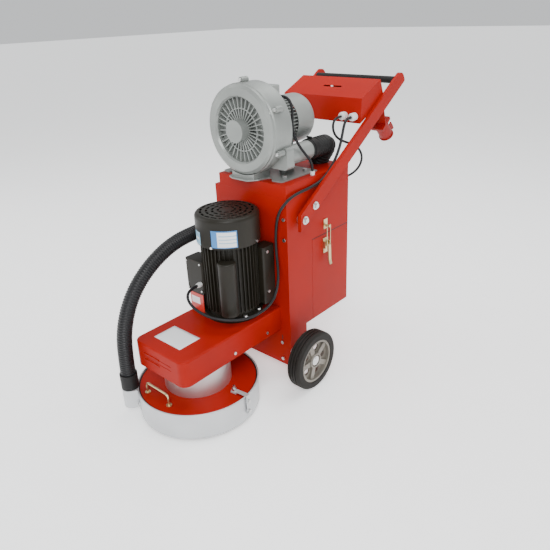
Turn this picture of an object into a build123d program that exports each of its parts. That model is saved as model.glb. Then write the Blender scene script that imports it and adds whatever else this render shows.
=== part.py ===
from build123d import *
import os
from math import asin, atan2, cos, degrees, hypot, pi, radians, sin, tan

os.makedirs("parts", exist_ok=True)

# Walk-behind concrete grinder. Millimetres, +Z up. The grinding head faces -Y and the operator
# stands at +Y. The model is drawn with Y = 0 on the spindle and is moved at the end, so that the
# origin lies under the middle of the whole machine.

# ---------------------------------------------------------------- clearances and stock
RUNNING = 0.05            # radial clearance of a shaft in its bearing
BOLT_PLAY = 0.2           # radial clearance of a bolt in its hole
GAP = 0.4                 # air between pieces that only stand beside each other
SHEET = 2.0               # sheet metal of the cabinet and the boxes

# ---------------------------------------------------------------- grinding head
SKIRT_R = 192.0
SKIRT_WALL = 2.5
SKIRT_BOTTOM = 8.0
SKIRT_TOP = 92.5
RIM_BEAD_R = 2.5
SEAL_WIDTH = 3.8
SEAL_HIGH = 7.0
COVER_TOP = 90.0
COVER_THICK = 4.0
DISC_R = 165.0
DISC_THICK = 12.0
DISC_HUB_R = 50.0
SHOE_COUNT = 6
SHOE_RADIUS = 132.0       # middle of each diamond shoe
SHOE_LONG = 62.0
SHOE_WIDE_OUT = 72.0
SHOE_WIDE_IN = 50.0
SHOE_THICK = 8.0
SEGMENT_HIGH = 11.0
SPINDLE_D = 35.0
DRUM_R = 106.0
DRUM_WALL = 6.0
BEARING_R = 36.0
BEARING_HIGH = 17.0
PORT_ANGLE = 234.0        # where the suction port stands on the skirt
PORT_REACH = 20.0         # port axis outside the skirt
PORT_R = 27.0
PORT_BOTTOM = 34.0
PORT_TOP = 98.0
EAR_THICK = 3.4
STUB_TOP = 122.0
STUB_R = 24.0
HOSE_D = 47.0

# ---------------------------------------------------------------- belt housing and belts
HOUSING_HALF = 115.0
HOUSING_FRONT = -142.0
HOUSING_BOTTOM = 178.0
HOUSING_TOP = 262.0
HOUSING_CORNER = 28.0
HOUSING_SHEET = 3.0
FLOOR_THICK = 6.0
MOTOR_Y = 178.0
DRIVEN_R = 78.0
DRIVE_R = 48.0
BELT_WIDE = 9.0
BELT_DEEP = 8.0
BELT_LEVELS = (203.0, 221.0)

# ---------------------------------------------------------------- drive motor
FLANGE_R = 96.0
FLANGE_THICK = 12.0
BELL_TOP = 290.0
FRAME_CORE_R = 80.0
FRAME_WALL = 8.0
FIN_R = 90.0
FIN_COUNT = 40
FIN_THICK = 2.6
FRAME_TOP = 512.0
SHIELD_BORE = 31.0
COWL_SCREWS = (15, 105, 195, 285)
COWL_R = 99.5
COWL_BOTTOM = 514.0
COWL_TOP = 608.0
COWL_SHEET = 2.0
ROTOR_SHAFT_D = 30.0
STATOR_BOTTOM = 330.0
STATOR_TOP = 460.0
ROTOR_R = 49.0

# ---------------------------------------------------------------- cabinet and wheels
CAB_HALF = 154.0
CAB_FRONT = 279.0
CAB_REAR = 606.0
CAB_TOP = 640.0
CAB_FOOT = 42.0
LEG_REAR = 367.0
BELLY = 173.0             # underside of the cabinet behind the leg
BIN_FRONT = 403.0
BIN_TOP = 469.0
SEAM = 3.0                # height of the gasket between bin and cabinet
TRAY_TOP = 680.0
TRAY_LEFT = -131.0
FILTER_X = 40.0
FILTER_Y = 532.0
FILTER_R = 66.0
FILTER_MOUTH = 38.0
FILTER_LONG = 150.0
WHEEL_R = 100.0
WHEEL_WIDE = 49.0
WHEEL_FACE = 256.0        # outer face of each wheel from the middle
WHEEL_Y = 292.0
AXLE_D = 20.0
RIM_R = 74.0
HUB_R = 26.0
SPOKES = 5

# ---------------------------------------------------------------- handle and control box
BAR_INNER = 166.0
BAR_THICK = 12.0
BAR_DEEP = 45.0
BAR_LONG = 683.0
BAR_ANGLE = 32.9          # degrees above horizontal
BAR_START = (318.5, 582.0)
BAR_BOLTS = (6.0, 68.0)
BAR_BOLT_DROP = 28.0      # bolt holes below the bar's upper edge
GRIP_D = 24.0
GRIP_ALONG = 639.0
GRIP_DROP = 9.0
BOX_BOTTOM_FRONT = (653.0, 804.0)
BOX_BEND = (660.0, 884.0)
BOX_RIDGE = (771.0, 933.0)
BOX_BOTTOM_REAR = (797.0, 872.0)

# ---------------------------------------------------------------- blower
BLOWER_X = -12.0
BLOWER_Z = 830.0
BLOWER_FRONT = 264.0
BLOWER_SPLIT = 304.0
BLOWER_BACK = 352.0
BLOWER_R = 137.0
BLOWER_WALL = 8.0
LUG_R = 143.0
LUG_ANGLES = (28, 92, 153, 211, 335)
HUB_DISC_FRONT = 244.0
HUB_DISC_R = 34.0
GRILLE_RIBS = 32
GRILLE_R = 97.0
BLOWER_SHAFT_D = 20.0
SILENCER_R = 30.0
SILENCER_OFFSET = 108.0
SILENCER_Z = 748.0
SILENCER_END = 483.0
FOOT_THICK = 4.0
BLOWER_FIN_R = 76.0
FAN_COVER_R = 78.0
FAN_COVER_FRONT = 455.0
FAN_COVER_BACK = 545.0


# ================================================================ drawing helpers
def block(x0, x1, y0, y1, z0, z1):
    centre = Pos((x0 + x1) / 2, (y0 + y1) / 2, (z0 + z1) / 2)
    return centre * Box(x1 - x0, y1 - y0, z1 - z0)


def rod_x(x0, x1, y, z, r):
    return Pos((x0 + x1) / 2, y, z) * Rot(0, 90, 0) * Cylinder(r, x1 - x0)


def rod_y(x, y0, y1, z, r):
    return Pos(x, (y0 + y1) / 2, z) * Rot(90, 0, 0) * Cylinder(r, y1 - y0)


def rod_z(x, y, z0, z1, r):
    return Pos(x, y, (z0 + z1) / 2) * Cylinder(r, z1 - z0)


def ring_x(x0, x1, y, z, r_out, r_in):
    return rod_x(x0, x1, y, z, r_out) - rod_x(x0 - 1, x1 + 1, y, z, r_in)


def ring_y(x, y0, y1, z, r_out, r_in):
    return rod_y(x, y0, y1, z, r_out) - rod_y(x, y0 - 1, y1 + 1, z, r_in)


def ring_z(x, y, z0, z1, r_out, r_in):
    return rod_z(x, y, z0, z1, r_out) - rod_z(x, y, z0 - 1, z1 + 1, r_in)


def hex_z(x, y, z0, z1, across_r):
    return Pos(x, y, z0) * extrude(RegularPolygon(across_r, 6), z1 - z0)


def outline(points):
    """A flat face with these corners, facing up whichever way round they run."""
    turn = sum(a[0] * b[1] - b[0] * a[1] for a, b in zip(points, points[1:] + points[:1]))
    return Polygon(*(points if turn > 0 else points[::-1]), align=None)


def side_plate(points, x0, x1):
    """A plate drawn as an outline in Y and Z, from x0 to x1."""
    return Pos(x0, 0, 0) * extrude(Plane.YZ * outline(points), x1 - x0)


def around(angle, x=0.0, y=0.0):
    """A turn about the vertical line at x, y."""
    return Pos(x, y, 0) * Rot(0, 0, angle)


def mirrored(shape):
    return mirror(shape, about=Plane.YZ)


def tube(points, radius, bends):
    path = FilletPolyline(*points, radius=bends)
    start = Plane(origin=path @ 0, z_dir=path % 0)
    return sweep(start * Circle(radius), path=path)


def cord_bends(points):
    """The arc at each corner, as large as its two runs allow."""
    radii = []
    for before, here, after in zip(points, points[1:], points[2:]):
        run_in = Vector(*here) - Vector(*before)
        run_out = Vector(*after) - Vector(*here)
        turn = radians(run_in.get_angle(run_out))
        radii.append(0.45 * min(run_in.length, run_out.length) / tan(turn / 2))
    return radii


def cord(name, points, diameter):
    radii = cord_bends(points)
    solid = tube(points, diameter / 2, radii)
    path = FilletPolyline(*points, radius=radii)
    section = pi * diameter ** 2 / 4
    ratio = solid.volume / (section * path.length)
    print(name, "bend radii in diameters", [round(r / diameter, 1) for r in radii])
    print(name, "length", round(path.length), "tube against section and length", round(ratio, 4))
    return solid


# ================================================================ grinding head
def dust_skirt():
    wall = ring_z(0, 0, SKIRT_BOTTOM, SKIRT_TOP, SKIRT_R, SKIRT_R - SKIRT_WALL)
    bead = Pos(0, 0, SKIRT_TOP) * Torus(SKIRT_R - SKIRT_WALL / 2, RIM_BEAD_R)
    window = around(PORT_ANGLE) * block(SKIRT_R - 12, SKIRT_R + 4, -20, 20, PORT_BOTTOM + 8, SKIRT_TOP - 10)
    return wall + bead - window


def rim_inside():
    """Smallest radius of the rolled rim."""
    return SKIRT_R - SKIRT_WALL / 2 - RIM_BEAD_R


def skirt_seal():
    outer = rim_inside() - 0.25
    top = SKIRT_TOP - RIM_BEAD_R - 0.1
    return ring_z(0, 0, top - SEAL_HIGH, top, outer, outer - SEAL_WIDTH)


def cover_disc():
    outer = rim_inside() - 0.35 - SEAL_WIDTH
    plate = ring_z(0, 0, COVER_TOP - COVER_THICK, COVER_TOP, outer, 40)
    lip = ring_z(0, 0, COVER_TOP - 14, COVER_TOP - COVER_THICK, outer, outer - 4)
    return plate + lip


def spindle_housing():
    """Turned drum that carries the two spindle bearings under the belt housing."""
    top = HOUSING_BOTTOM
    shell = ring_z(0, 0, COVER_TOP, top, DRUM_R, DRUM_R - DRUM_WALL)
    lid = ring_z(0, 0, top - DRUM_WALL, top, DRUM_R, BEARING_R)
    base = ring_z(0, 0, COVER_TOP, COVER_TOP + DRUM_WALL, DRUM_R, BEARING_R - 6)
    hub = ring_z(0, 0, COVER_TOP, top, BEARING_R + 9, BEARING_R)
    shoulder = ring_z(0, 0, COVER_TOP + 28, COVER_TOP + 56, BEARING_R + 1, BEARING_R - 6)
    ribs = Part()
    for step in range(6):
        ribs += around(60 * step) * block(BEARING_R + 5, DRUM_R - 2, -3, 3, COVER_TOP + 2, top - 2)
    return shell + lid + base + hub + shoulder + ribs


def ball_bearing(x, y, z0, r_out, r_in, high):
    """Two races, drawn with the gap between them filled by a thin cage."""
    race_in = ring_z(x, y, z0, z0 + high, r_in + 5, r_in)
    race_out = ring_z(x, y, z0, z0 + high, r_out, r_out - 5)
    cage = ring_z(x, y, z0 + high / 2 - 2, z0 + high / 2 + 2, r_out - 4, r_in + 4)
    return race_in + race_out + cage


def spindle_bearings():
    r_in = SPINDLE_D / 2 + RUNNING
    low = ball_bearing(0, 0, COVER_TOP + 28 - BEARING_HIGH, BEARING_R, r_in, BEARING_HIGH)
    high = ball_bearing(0, 0, COVER_TOP + 56, BEARING_R, r_in, BEARING_HIGH)
    return [low, high]


DISC_BOTTOM = SEGMENT_HIGH + SHOE_THICK
DISC_TOP = DISC_BOTTOM + DISC_THICK
HUB_TOP = DISC_TOP + 29.0
PULLEY_BOTTOM = 194.0
PULLEY_TOP = 230.0


def spindle_shaft():
    """The shaft with its lower flange, and the nut and washer that hold the pulley."""
    shaft = rod_z(0, 0, HUB_TOP, PULLEY_TOP + 14, SPINDLE_D / 2)
    flange = rod_z(0, 0, HUB_TOP, HUB_TOP + 12, DISC_HUB_R)
    nut = rod_z(0, 0, PULLEY_TOP, PULLEY_TOP + 2, 28) + hex_z(0, 0, PULLEY_TOP + 2, PULLEY_TOP + 12, 26)
    nut -= rod_z(0, 0, PULLEY_TOP - 1, PULLEY_TOP + 13, SPINDLE_D / 2)
    return [shaft + flange, nut]


def grinding_disc():
    plate = rod_z(0, 0, DISC_BOTTOM, DISC_TOP, DISC_R)
    hub = rod_z(0, 0, DISC_TOP, HUB_TOP, DISC_HUB_R)
    ribs = Part()
    for step in range(SHOE_COUNT):
        rib = block(DISC_HUB_R - 5, DISC_R - 20, -4, 4, DISC_TOP - 1, DISC_TOP + 12)
        ribs += around(360 / SHOE_COUNT * (step + 0.5)) * rib
    return plate + hub + ribs


def shoe_outline():
    half_in = SHOE_WIDE_IN / 2
    half_out = SHOE_WIDE_OUT / 2
    x0 = SHOE_RADIUS - SHOE_LONG / 2
    x1 = SHOE_RADIUS + SHOE_LONG / 2
    return outline([(x0, -half_in), (x1, -half_out), (x1, half_out), (x0, half_in)])


def diamond_shoes():
    """Trapezoid carrier plates, each with two diamond segments below it."""
    plate = Pos(0, 0, SEGMENT_HIGH) * extrude(shoe_outline(), SHOE_THICK)
    pieces = []
    for step in range(SHOE_COUNT):
        turn = around(360 / SHOE_COUNT * step)
        pieces.append(turn * plate)
        for side in (-1, 1):
            y0 = side * 15 - 6
            bar = block(SHOE_RADIUS - 22, SHOE_RADIUS + 22, y0, y0 + 12, 0, SEGMENT_HIGH)
            pieces.append(turn * fillet(bar.edges().filter_by(Axis.Z), 5.5))
    return pieces


def driven_pulley():
    body = ring_z(0, 0, PULLEY_BOTTOM, PULLEY_TOP, DRIVEN_R, SPINDLE_D / 2)
    for z in BELT_LEVELS:
        z0 = z - BELT_WIDE / 2 - GAP
        z1 = z + BELT_WIDE / 2 + GAP
        body -= ring_z(0, 0, z0, z1, DRIVEN_R + 1, DRIVEN_R - BELT_DEEP)
    recess = ring_z(0, 0, PULLEY_BOTTOM - 1, PULLEY_BOTTOM + 8, DRIVEN_R - 16, SPINDLE_D / 2 + 14)
    return body - recess


def belt_loop_face(r_driven, r_drive):
    lean = asin((r_driven - r_drive) / MOTOR_Y)
    corners = []
    for side in (-1, 1):
        ends = [(side * r * cos(lean), y + r * sin(lean)) for r, y in ((r_driven, 0), (r_drive, MOTOR_Y))]
        corners += ends if side < 0 else ends[::-1]
    return outline(corners) + Circle(r_driven) + Pos(0, MOTOR_Y) * Circle(r_drive)


def drive_belts():
    inner = belt_loop_face(DRIVEN_R - BELT_DEEP + GAP, DRIVE_R - BELT_DEEP + GAP)
    outer = belt_loop_face(DRIVEN_R + GAP, DRIVE_R + GAP)
    band = extrude(outer - inner, BELT_WIDE)
    return [Pos(0, 0, z - BELT_WIDE / 2) * band for z in BELT_LEVELS]


def suction_port():
    """Half-round box on the skirt with an upright stub for the hose."""
    axis = SKIRT_R + PORT_REACH
    plan = Pos(axis, 0) * Circle(PORT_R) + Pos(axis - 15, 0) * Rectangle(30, 2 * PORT_R)
    body = Pos(0, 0, PORT_BOTTOM) * extrude(plan, PORT_TOP - PORT_BOTTOM)
    ear_plan = Circle(SKIRT_R + EAR_THICK) & Pos(SKIRT_R, 0) * Rectangle(40, 92)
    body += Pos(0, 0, PORT_BOTTOM + 4) * extrude(ear_plan, 26)
    body += rod_z(axis, 0, PORT_TOP, STUB_TOP, STUB_R)
    body -= rod_z(axis, 0, PORT_BOTTOM + 6, STUB_TOP + 1, STUB_R - 3)
    body -= block(SKIRT_R - 12, axis, -18, 18, PORT_BOTTOM + 8, SKIRT_TOP - 12)
    rim_low = SKIRT_TOP - RIM_BEAD_R - 2
    body -= rod_z(0, 0, PORT_BOTTOM - 1, rim_low, SKIRT_R)
    body -= rod_z(0, 0, rim_low - 1, PORT_TOP, rim_inside() + 2 * RIM_BEAD_R + 0.1)
    return around(PORT_ANGLE) * body


def port_bolts():
    bolts = []
    for side in (-1, 1):
        turn = Rot(0, 0, PORT_ANGLE + degrees(side * 38 / SKIRT_R))
        x0 = SKIRT_R + EAR_THICK + 0.1
        bolts.append(turn * rod_x(x0, x0 + 5, 0, PORT_BOTTOM + 17, 6))
    return bolts


CLAMP_ANGLES = (7.0, 112.0)
CLAMP_FOOT_R = 146.0
CLAMP_THICK = 3.0
CLAMP_BOLT_Z = (40.0, 76.0)


def clamp_face():
    """Radius where the outer leg of each clamp begins, just outside the rolled rim."""
    return SKIRT_R + RIM_BEAD_R + 1.5


def skirt_clamps():
    z0 = SKIRT_TOP + RIM_BEAD_R + 0.3
    x_out = clamp_face()
    strap = block(CLAMP_FOOT_R - 8, x_out + CLAMP_THICK, -7, 7, z0, z0 + CLAMP_THICK)
    leg = block(x_out, x_out + CLAMP_THICK, -7, 7, 30, z0 + CLAMP_THICK)
    foot = block(CLAMP_FOOT_R - 8, CLAMP_FOOT_R + 12, -9, 9, COVER_TOP, z0)
    clamp = strap + leg + foot
    for z in CLAMP_BOLT_Z:
        clamp += block(SKIRT_R + 0.1, x_out, -5, 5, z - 6, z + 6)
    return [around(angle) * clamp for angle in CLAMP_ANGLES]


def clamp_bolts():
    z0 = SKIRT_TOP + RIM_BEAD_R + 0.3 + CLAMP_THICK
    x_out = clamp_face() + CLAMP_THICK
    pieces = []
    for angle in CLAMP_ANGLES:
        stud = rod_z(CLAMP_FOOT_R, 0, z0, z0 + 16, 4) + hex_z(CLAMP_FOOT_R, 0, z0, z0 + 7, 8)
        pieces.append(around(angle) * stud)
        for z in CLAMP_BOLT_Z:
            pieces.append(around(angle) * rod_x(x_out, x_out + 5, 0, z, 6))
    return pieces


BAIL_Y = -149.0
BAIL_X = (-67.0, 36.0)
BAIL_HIGH = 37.0


def cover_handle():
    x0, x1 = BAIL_X
    z0 = COVER_TOP + 2
    z1 = COVER_TOP + BAIL_HIGH
    points = [(x0, BAIL_Y, z0), (x0, BAIL_Y, z1), (x1, BAIL_Y, z1), (x1, BAIL_Y, z0)]
    bar = tube(points, 3.4, 12)
    feet = rod_z(x0, BAIL_Y, COVER_TOP, z0 + 0.5, 9) + rod_z(x1, BAIL_Y, COVER_TOP, z0 + 0.5, 9)
    return bar + feet


# ================================================================ belt housing
def housing_plan(inset):
    """Outline of the housing: round corners in front, square against the cabinet."""
    half = HOUSING_HALF - inset
    front = HOUSING_FRONT + inset
    back = CAB_FRONT - 0.1 - inset
    corner = HOUSING_CORNER - inset
    plan = Pos(0, (front + back) / 2) * Rectangle(2 * half, back - front)
    front_corners = plan.vertices().sort_by(Axis.Y)[:2]
    return fillet(front_corners, corner)


def belt_housing():
    z0 = HOUSING_BOTTOM + FLOOR_THICK
    outer = Pos(0, 0, z0) * extrude(housing_plan(0), HOUSING_TOP - z0)
    outer = fillet(outer.faces().sort_by(Axis.Z)[-1].edges(), 5)
    inner = Pos(0, 0, z0 - 1) * extrude(housing_plan(HOUSING_SHEET), HOUSING_TOP - HOUSING_SHEET - z0 + 1)
    shell = outer - inner - rod_z(0, MOTOR_Y, HOUSING_TOP - 6, HOUSING_TOP + 1, 60)
    for z in (219, 233):
        shell -= block(-52, 60, HOUSING_FRONT - 1, HOUSING_FRONT + 1, z - 1.6, z + 1.6)
    return shell


def housing_floor():
    plate = Pos(0, 0, HOUSING_BOTTOM) * extrude(housing_plan(0), FLOOR_THICK)
    return plate - rod_z(0, 0, HOUSING_BOTTOM - 1, HOUSING_BOTTOM + FLOOR_THICK + 1, BEARING_R)


def housing_screws():
    pieces = []
    for y in (60, 208):
        for side in (-1, 1):
            x = side * HOUSING_HALF
            pieces.append(rod_x(min(x, x + side * 3.2), max(x, x + side * 3.2), y, 197, 5))
    return pieces


# ================================================================ drive motor
UPPER_BOX = (-120.0, -40.0, 92.0, 150.0, 338.0, 448.0)
LOWER_BOX = (-115.0, -45.0, 95.0, 150.0, HOUSING_TOP + 0.2, 337.4)
RIGHT_BOX = (58.0, 102.0, 222.0, 276.0, BELL_TOP + 2, 488.0)
CAP_ANGLE = -50.0
CAP_RADIUS = 98.0
CAP_R = 28.0
CAP_BOTTOM = 298.0
CAP_HIGH = 178.0


def motor_end_shields():
    """The foot flange with its bell, and the upper shield that carries the fan cowl."""
    foot = ring_z(0, MOTOR_Y, HOUSING_TOP, HOUSING_TOP + FLANGE_THICK, FLANGE_R, SHIELD_BORE)
    foot += ring_z(0, MOTOR_Y, HOUSING_TOP + FLANGE_THICK, BELL_TOP, FRAME_CORE_R, SHIELD_BORE)
    head = ring_z(0, MOTOR_Y, FRAME_TOP, FRAME_TOP + 8, FRAME_CORE_R + 6, SHIELD_BORE)
    head += ring_z(0, MOTOR_Y, FRAME_TOP, FRAME_TOP + 18, 42, SHIELD_BORE)
    for angle in COWL_SCREWS:
        ear = block(FRAME_CORE_R, COWL_R - COWL_SHEET - 0.2, -5, 5, FRAME_TOP, FRAME_TOP + 8)
        head += around(angle, 0, MOTOR_Y) * ear
    return [foot, head]


def flange_bolts():
    z0 = HOUSING_TOP + FLANGE_THICK
    pieces = []
    for angle in (20, 160, 200, 340):
        x = 88 * cos(radians(angle))
        y = MOTOR_Y + 88 * sin(radians(angle))
        pieces.append(hex_z(x, y, z0, z0 + 7, 7.5))
    return pieces


def motor_frame():
    """Ribbed aluminium barrel; the ribs run up the motor."""
    plan = Circle(FRAME_CORE_R)
    for step in range(FIN_COUNT):
        fin = Pos((FRAME_CORE_R + FIN_R) / 2 - 1, 0) * Rectangle(FIN_R - FRAME_CORE_R + 2, FIN_THICK)
        plan += Rot(0, 0, 360 / FIN_COUNT * step) * fin
    plan -= Circle(FRAME_CORE_R - FRAME_WALL)
    return Pos(0, MOTOR_Y, BELL_TOP) * extrude(plan, FRAME_TOP - BELL_TOP)


def motor_bearings():
    r_in = ROTOR_SHAFT_D / 2 + RUNNING
    low = ball_bearing(0, MOTOR_Y, HOUSING_TOP + 8, SHIELD_BORE, r_in, 16)
    high = ball_bearing(0, MOTOR_Y, FRAME_TOP + 1, SHIELD_BORE, r_in, 16)
    return [low, high]


def stator_core():
    plan = Circle(FRAME_CORE_R - FRAME_WALL) - Circle(ROTOR_R + 1)
    for step in range(24):
        plan -= Rot(0, 0, 15 * step) * (Pos(ROTOR_R + 9, 0) * Rectangle(12, 5))
    return Pos(0, MOTOR_Y, STATOR_BOTTOM) * extrude(plan, STATOR_TOP - STATOR_BOTTOM)


def stator_windings():
    low = ring_z(0, MOTOR_Y, STATOR_BOTTOM - 24, STATOR_BOTTOM - 0.1, 66, ROTOR_R + 4)
    high = ring_z(0, MOTOR_Y, STATOR_TOP + 0.1, STATOR_TOP + 24, 66, ROTOR_R + 4)
    return [low, high]


def rotor():
    shaft = rod_z(0, MOTOR_Y, PULLEY_BOTTOM, COWL_TOP - 28, ROTOR_SHAFT_D / 2)
    core = rod_z(0, MOTOR_Y, STATOR_BOTTOM, STATOR_TOP, ROTOR_R)
    return shaft + core


def drive_pulley():
    body = ring_z(0, MOTOR_Y, PULLEY_BOTTOM, PULLEY_TOP, DRIVE_R, ROTOR_SHAFT_D / 2)
    for z in BELT_LEVELS:
        z0 = z - BELT_WIDE / 2 - GAP
        z1 = z + BELT_WIDE / 2 + GAP
        body -= ring_z(0, MOTOR_Y, z0, z1, DRIVE_R + 1, DRIVE_R - BELT_DEEP)
    return body


def cooling_fan():
    z0 = COWL_TOP - 52
    fan = ring_z(0, MOTOR_Y, z0, z0 + 24, 24, ROTOR_SHAFT_D / 2)
    fan += ring_z(0, MOTOR_Y, z0, z0 + 3, 84, 20)
    for step in range(8):
        fan += around(45 * step, 0, MOTOR_Y) * block(20, 88, -1.5, 1.5, z0 + 1, z0 + 26)
    return fan


def motor_fan_cowl():
    outer = rod_z(0, MOTOR_Y, COWL_BOTTOM, COWL_TOP, COWL_R)
    outer = fillet(outer.edges().sort_by(Axis.Z)[-1], 12)
    inner = rod_z(0, MOTOR_Y, COWL_BOTTOM - 1, COWL_TOP - COWL_SHEET, COWL_R - COWL_SHEET)
    inner = fillet(inner.edges().sort_by(Axis.Z)[-1], 10)
    cowl = outer - inner
    slots = Sketch()
    for r_slot, count in ((26, 8), (44, 12), (62, 16), (80, 20)):
        for step in range(count):
            slot = Pos(r_slot, 0) * Rectangle(7, 2 * pi * r_slot / count - 6)
            slots += Rot(0, 0, 360 / count * step) * slot
    return cowl - Pos(0, MOTOR_Y, COWL_TOP - 6) * extrude(slots, 10)


def cowl_screws():
    turn_all = [around(angle, 0, MOTOR_Y) for angle in COWL_SCREWS]
    return [turn * rod_x(COWL_R + 0.1, COWL_R + 3.4, 0, COWL_BOTTOM + 5, 4) for turn in turn_all]


def motor_case(box_size, wall_r):
    """A thin box with its back cut round to sit against the motor's ribs."""
    x0, x1, y0, y1, z0, z1 = box_size
    outer = block(*box_size)
    outer = fillet(outer.edges().filter_by(Axis.Z), 6)
    inner = block(x0 + SHEET, x1 - SHEET, y0 + SHEET, y1 - SHEET, z0 + SHEET, z1 - SHEET)
    outer -= rod_z(0, MOTOR_Y, z0 - 1, z1 + 1, wall_r)
    inner -= rod_z(0, MOTOR_Y, z0 - 1, z1 + 1, wall_r + SHEET)
    return outer - inner


def motor_boxes():
    """Upper terminal box, switch box under it, and the box of the run capacitor."""
    upper = motor_case(UPPER_BOX, FIN_R + 0.1)
    lower = motor_case(LOWER_BOX, FLANGE_R + 0.1)
    right = motor_case(RIGHT_BOX, FIN_R + 0.1)
    return [upper, lower, right, start_capacitor_cover()]


def cap_centre():
    turn = radians(CAP_ANGLE)
    return CAP_RADIUS * cos(turn), MOTOR_Y + CAP_RADIUS * sin(turn)


def start_capacitor_cover():
    x, y = cap_centre()
    outer = rod_z(x, y, CAP_BOTTOM, CAP_BOTTOM + CAP_HIGH, CAP_R)
    outer = fillet(outer.edges().sort_by(Axis.Z)[-1], 5)
    inner = rod_z(x, y, CAP_BOTTOM - 1, CAP_BOTTOM + CAP_HIGH - SHEET, CAP_R - SHEET)
    return outer - inner - rod_z(0, MOTOR_Y, CAP_BOTTOM - 2, CAP_BOTTOM + CAP_HIGH + 2, FIN_R + 0.1)


def capacitors():
    x, y = cap_centre()
    out = 1.12
    start = rod_z(x * out, MOTOR_Y + (y - MOTOR_Y) * out, CAP_BOTTOM, CAP_BOTTOM + 150, 13)
    run_floor = RIGHT_BOX[4] + SHEET
    run = rod_z(RIGHT_BOX[1] - 15, RIGHT_BOX[3] - 14, run_floor, run_floor + 145, 11)
    return [start, run]


def case_screws():
    x1 = RIGHT_BOX[1]
    pieces = [rod_x(x1 + 0.1, x1 + 3.4, 240, z, 4.5) for z in (334, 472)]
    y0 = UPPER_BOX[2]
    for x in (-112, -50):
        for z in (346, 440):
            pieces.append(rod_y(x, y0 - 2.6, y0 - 0.1, z, 3))
    return pieces


def cable_entry_y(x, y0, y1, z, r):
    """Gland standing along Y: a hex body and a round nut."""
    base = Pos(x, (y0 + y1) / 2, z) * Rot(90, 0, 0) * extrude(RegularPolygon(r, 6), (y1 - y0) / 4, both=True)
    return base + rod_y(x, y0, y1, z, r * 0.84)


MOTOR_GLAND = (-52.0, UPPER_BOX[2], 372.0)
MOTOR_GLAND_LONG = 16.0


def motor_gland():
    x, y, z = MOTOR_GLAND
    return cable_entry_y(x, y - MOTOR_GLAND_LONG, y - 0.1, z, 8.5)


# ================================================================ cabinet
def cabinet_front():
    plate = block(-CAB_HALF, CAB_HALF, CAB_FRONT, CAB_FRONT + SHEET, CAB_FOOT, CAB_TOP)
    return plate - rod_y(HOSE_PANEL_X, CAB_FRONT - 1, CAB_FRONT + SHEET + 1, HOSE_PANEL_Z, 21)


def cabinet_side(side):
    y0 = CAB_FRONT + SHEET
    y1 = CAB_REAR - SHEET
    edge = [(y0, CAB_FOOT), (LEG_REAR, CAB_FOOT), (LEG_REAR, BELLY), (BIN_FRONT - 1, BELLY),
            (BIN_FRONT - 1, BIN_TOP + SEAM), (y1, BIN_TOP + SEAM), (y1, CAB_TOP), (y0, CAB_TOP)]
    plate = side_plate(edge, CAB_HALF - SHEET, CAB_HALF)
    plate -= rod_x(CAB_HALF - 5, CAB_HALF + 5, WHEEL_Y, WHEEL_R, AXLE_D / 2 + BOLT_PLAY)
    for y, z in bar_bolt_places():
        plate -= rod_x(CAB_HALF - 5, CAB_HALF + 5, y, z, 5 + BOLT_PLAY)
    return plate if side > 0 else mirrored(plate)


def cabinet_leg():
    """Folded sheet that closes the leg behind and below, and the belly up to the bin."""
    half = CAB_HALF - SHEET
    y0 = CAB_FRONT + SHEET
    bottom = block(-half, half, y0, LEG_REAR, CAB_FOOT, CAB_FOOT + SHEET)
    back = block(-half, half, LEG_REAR - SHEET, LEG_REAR, CAB_FOOT, BELLY + SHEET)
    belly = block(-half, half, LEG_REAR - SHEET, BIN_FRONT - 1, BELLY, BELLY + SHEET)
    bulkhead = block(-half, half, BIN_FRONT - 3, BIN_FRONT - 1, BELLY, BIN_TOP + SEAM)
    return bottom + back + belly + bulkhead


def cabinet_rear():
    return block(-CAB_HALF, CAB_HALF, CAB_REAR - SHEET, CAB_REAR, BIN_TOP + SEAM, CAB_TOP)


def cabinet_top():
    half = CAB_HALF - SHEET
    plate = block(-half, half, CAB_FRONT + SHEET, CAB_REAR - SHEET, CAB_TOP - SHEET, CAB_TOP)
    return plate - rod_z(FILTER_X, FILTER_Y, CAB_TOP - 5, CAB_TOP + 5, FILTER_MOUTH)


def separator_plate():
    """Shelf over the bin, with the round hole that the dust falls through."""
    half = CAB_HALF - SHEET
    z0 = BIN_TOP + SEAM
    plate = block(-half, half, CAB_FRONT + SHEET, CAB_REAR - SHEET, z0, z0 + SHEET)
    return plate - rod_z(0, (BIN_FRONT + CAB_REAR) / 2, z0 - 1, z0 + SHEET + 1, 85)


def bin_gasket():
    y0 = BIN_FRONT
    y1 = CAB_REAR
    outer = block(-CAB_HALF, CAB_HALF, y0, y1, BIN_TOP, BIN_TOP + SEAM - 0.1)
    inner = block(-CAB_HALF + 12, CAB_HALF - 12, y0 + 12, y1 - 12, BIN_TOP - 1, BIN_TOP + 4)
    return outer - inner


def dust_bin():
    outer = block(-CAB_HALF, CAB_HALF, BIN_FRONT, CAB_REAR, BELLY, BIN_TOP)
    half = CAB_HALF - SHEET
    inner = block(-half, half, BIN_FRONT + SHEET, CAB_REAR - SHEET, BELLY + SHEET, BIN_TOP + 1)
    return outer - inner


def filter_cartridge():
    plan = Circle(FILTER_R - 14)
    for step in range(36):
        plan += Rot(0, 0, 10 * step) * (Pos(FILTER_R - 8, 0) * Rectangle(16, 3))
    plan -= Circle(FILTER_MOUTH + 2)
    z1 = CAB_TOP - SHEET
    z0 = z1 - FILTER_LONG
    pleats = Pos(FILTER_X, FILTER_Y, z0 + 8) * extrude(plan, FILTER_LONG - 16)
    base = rod_z(FILTER_X, FILTER_Y, z0, z0 + 8, FILTER_R)
    head = ring_z(FILTER_X, FILTER_Y, z1 - 8, z1, FILTER_R, FILTER_MOUTH)
    return pleats + base + head


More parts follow.
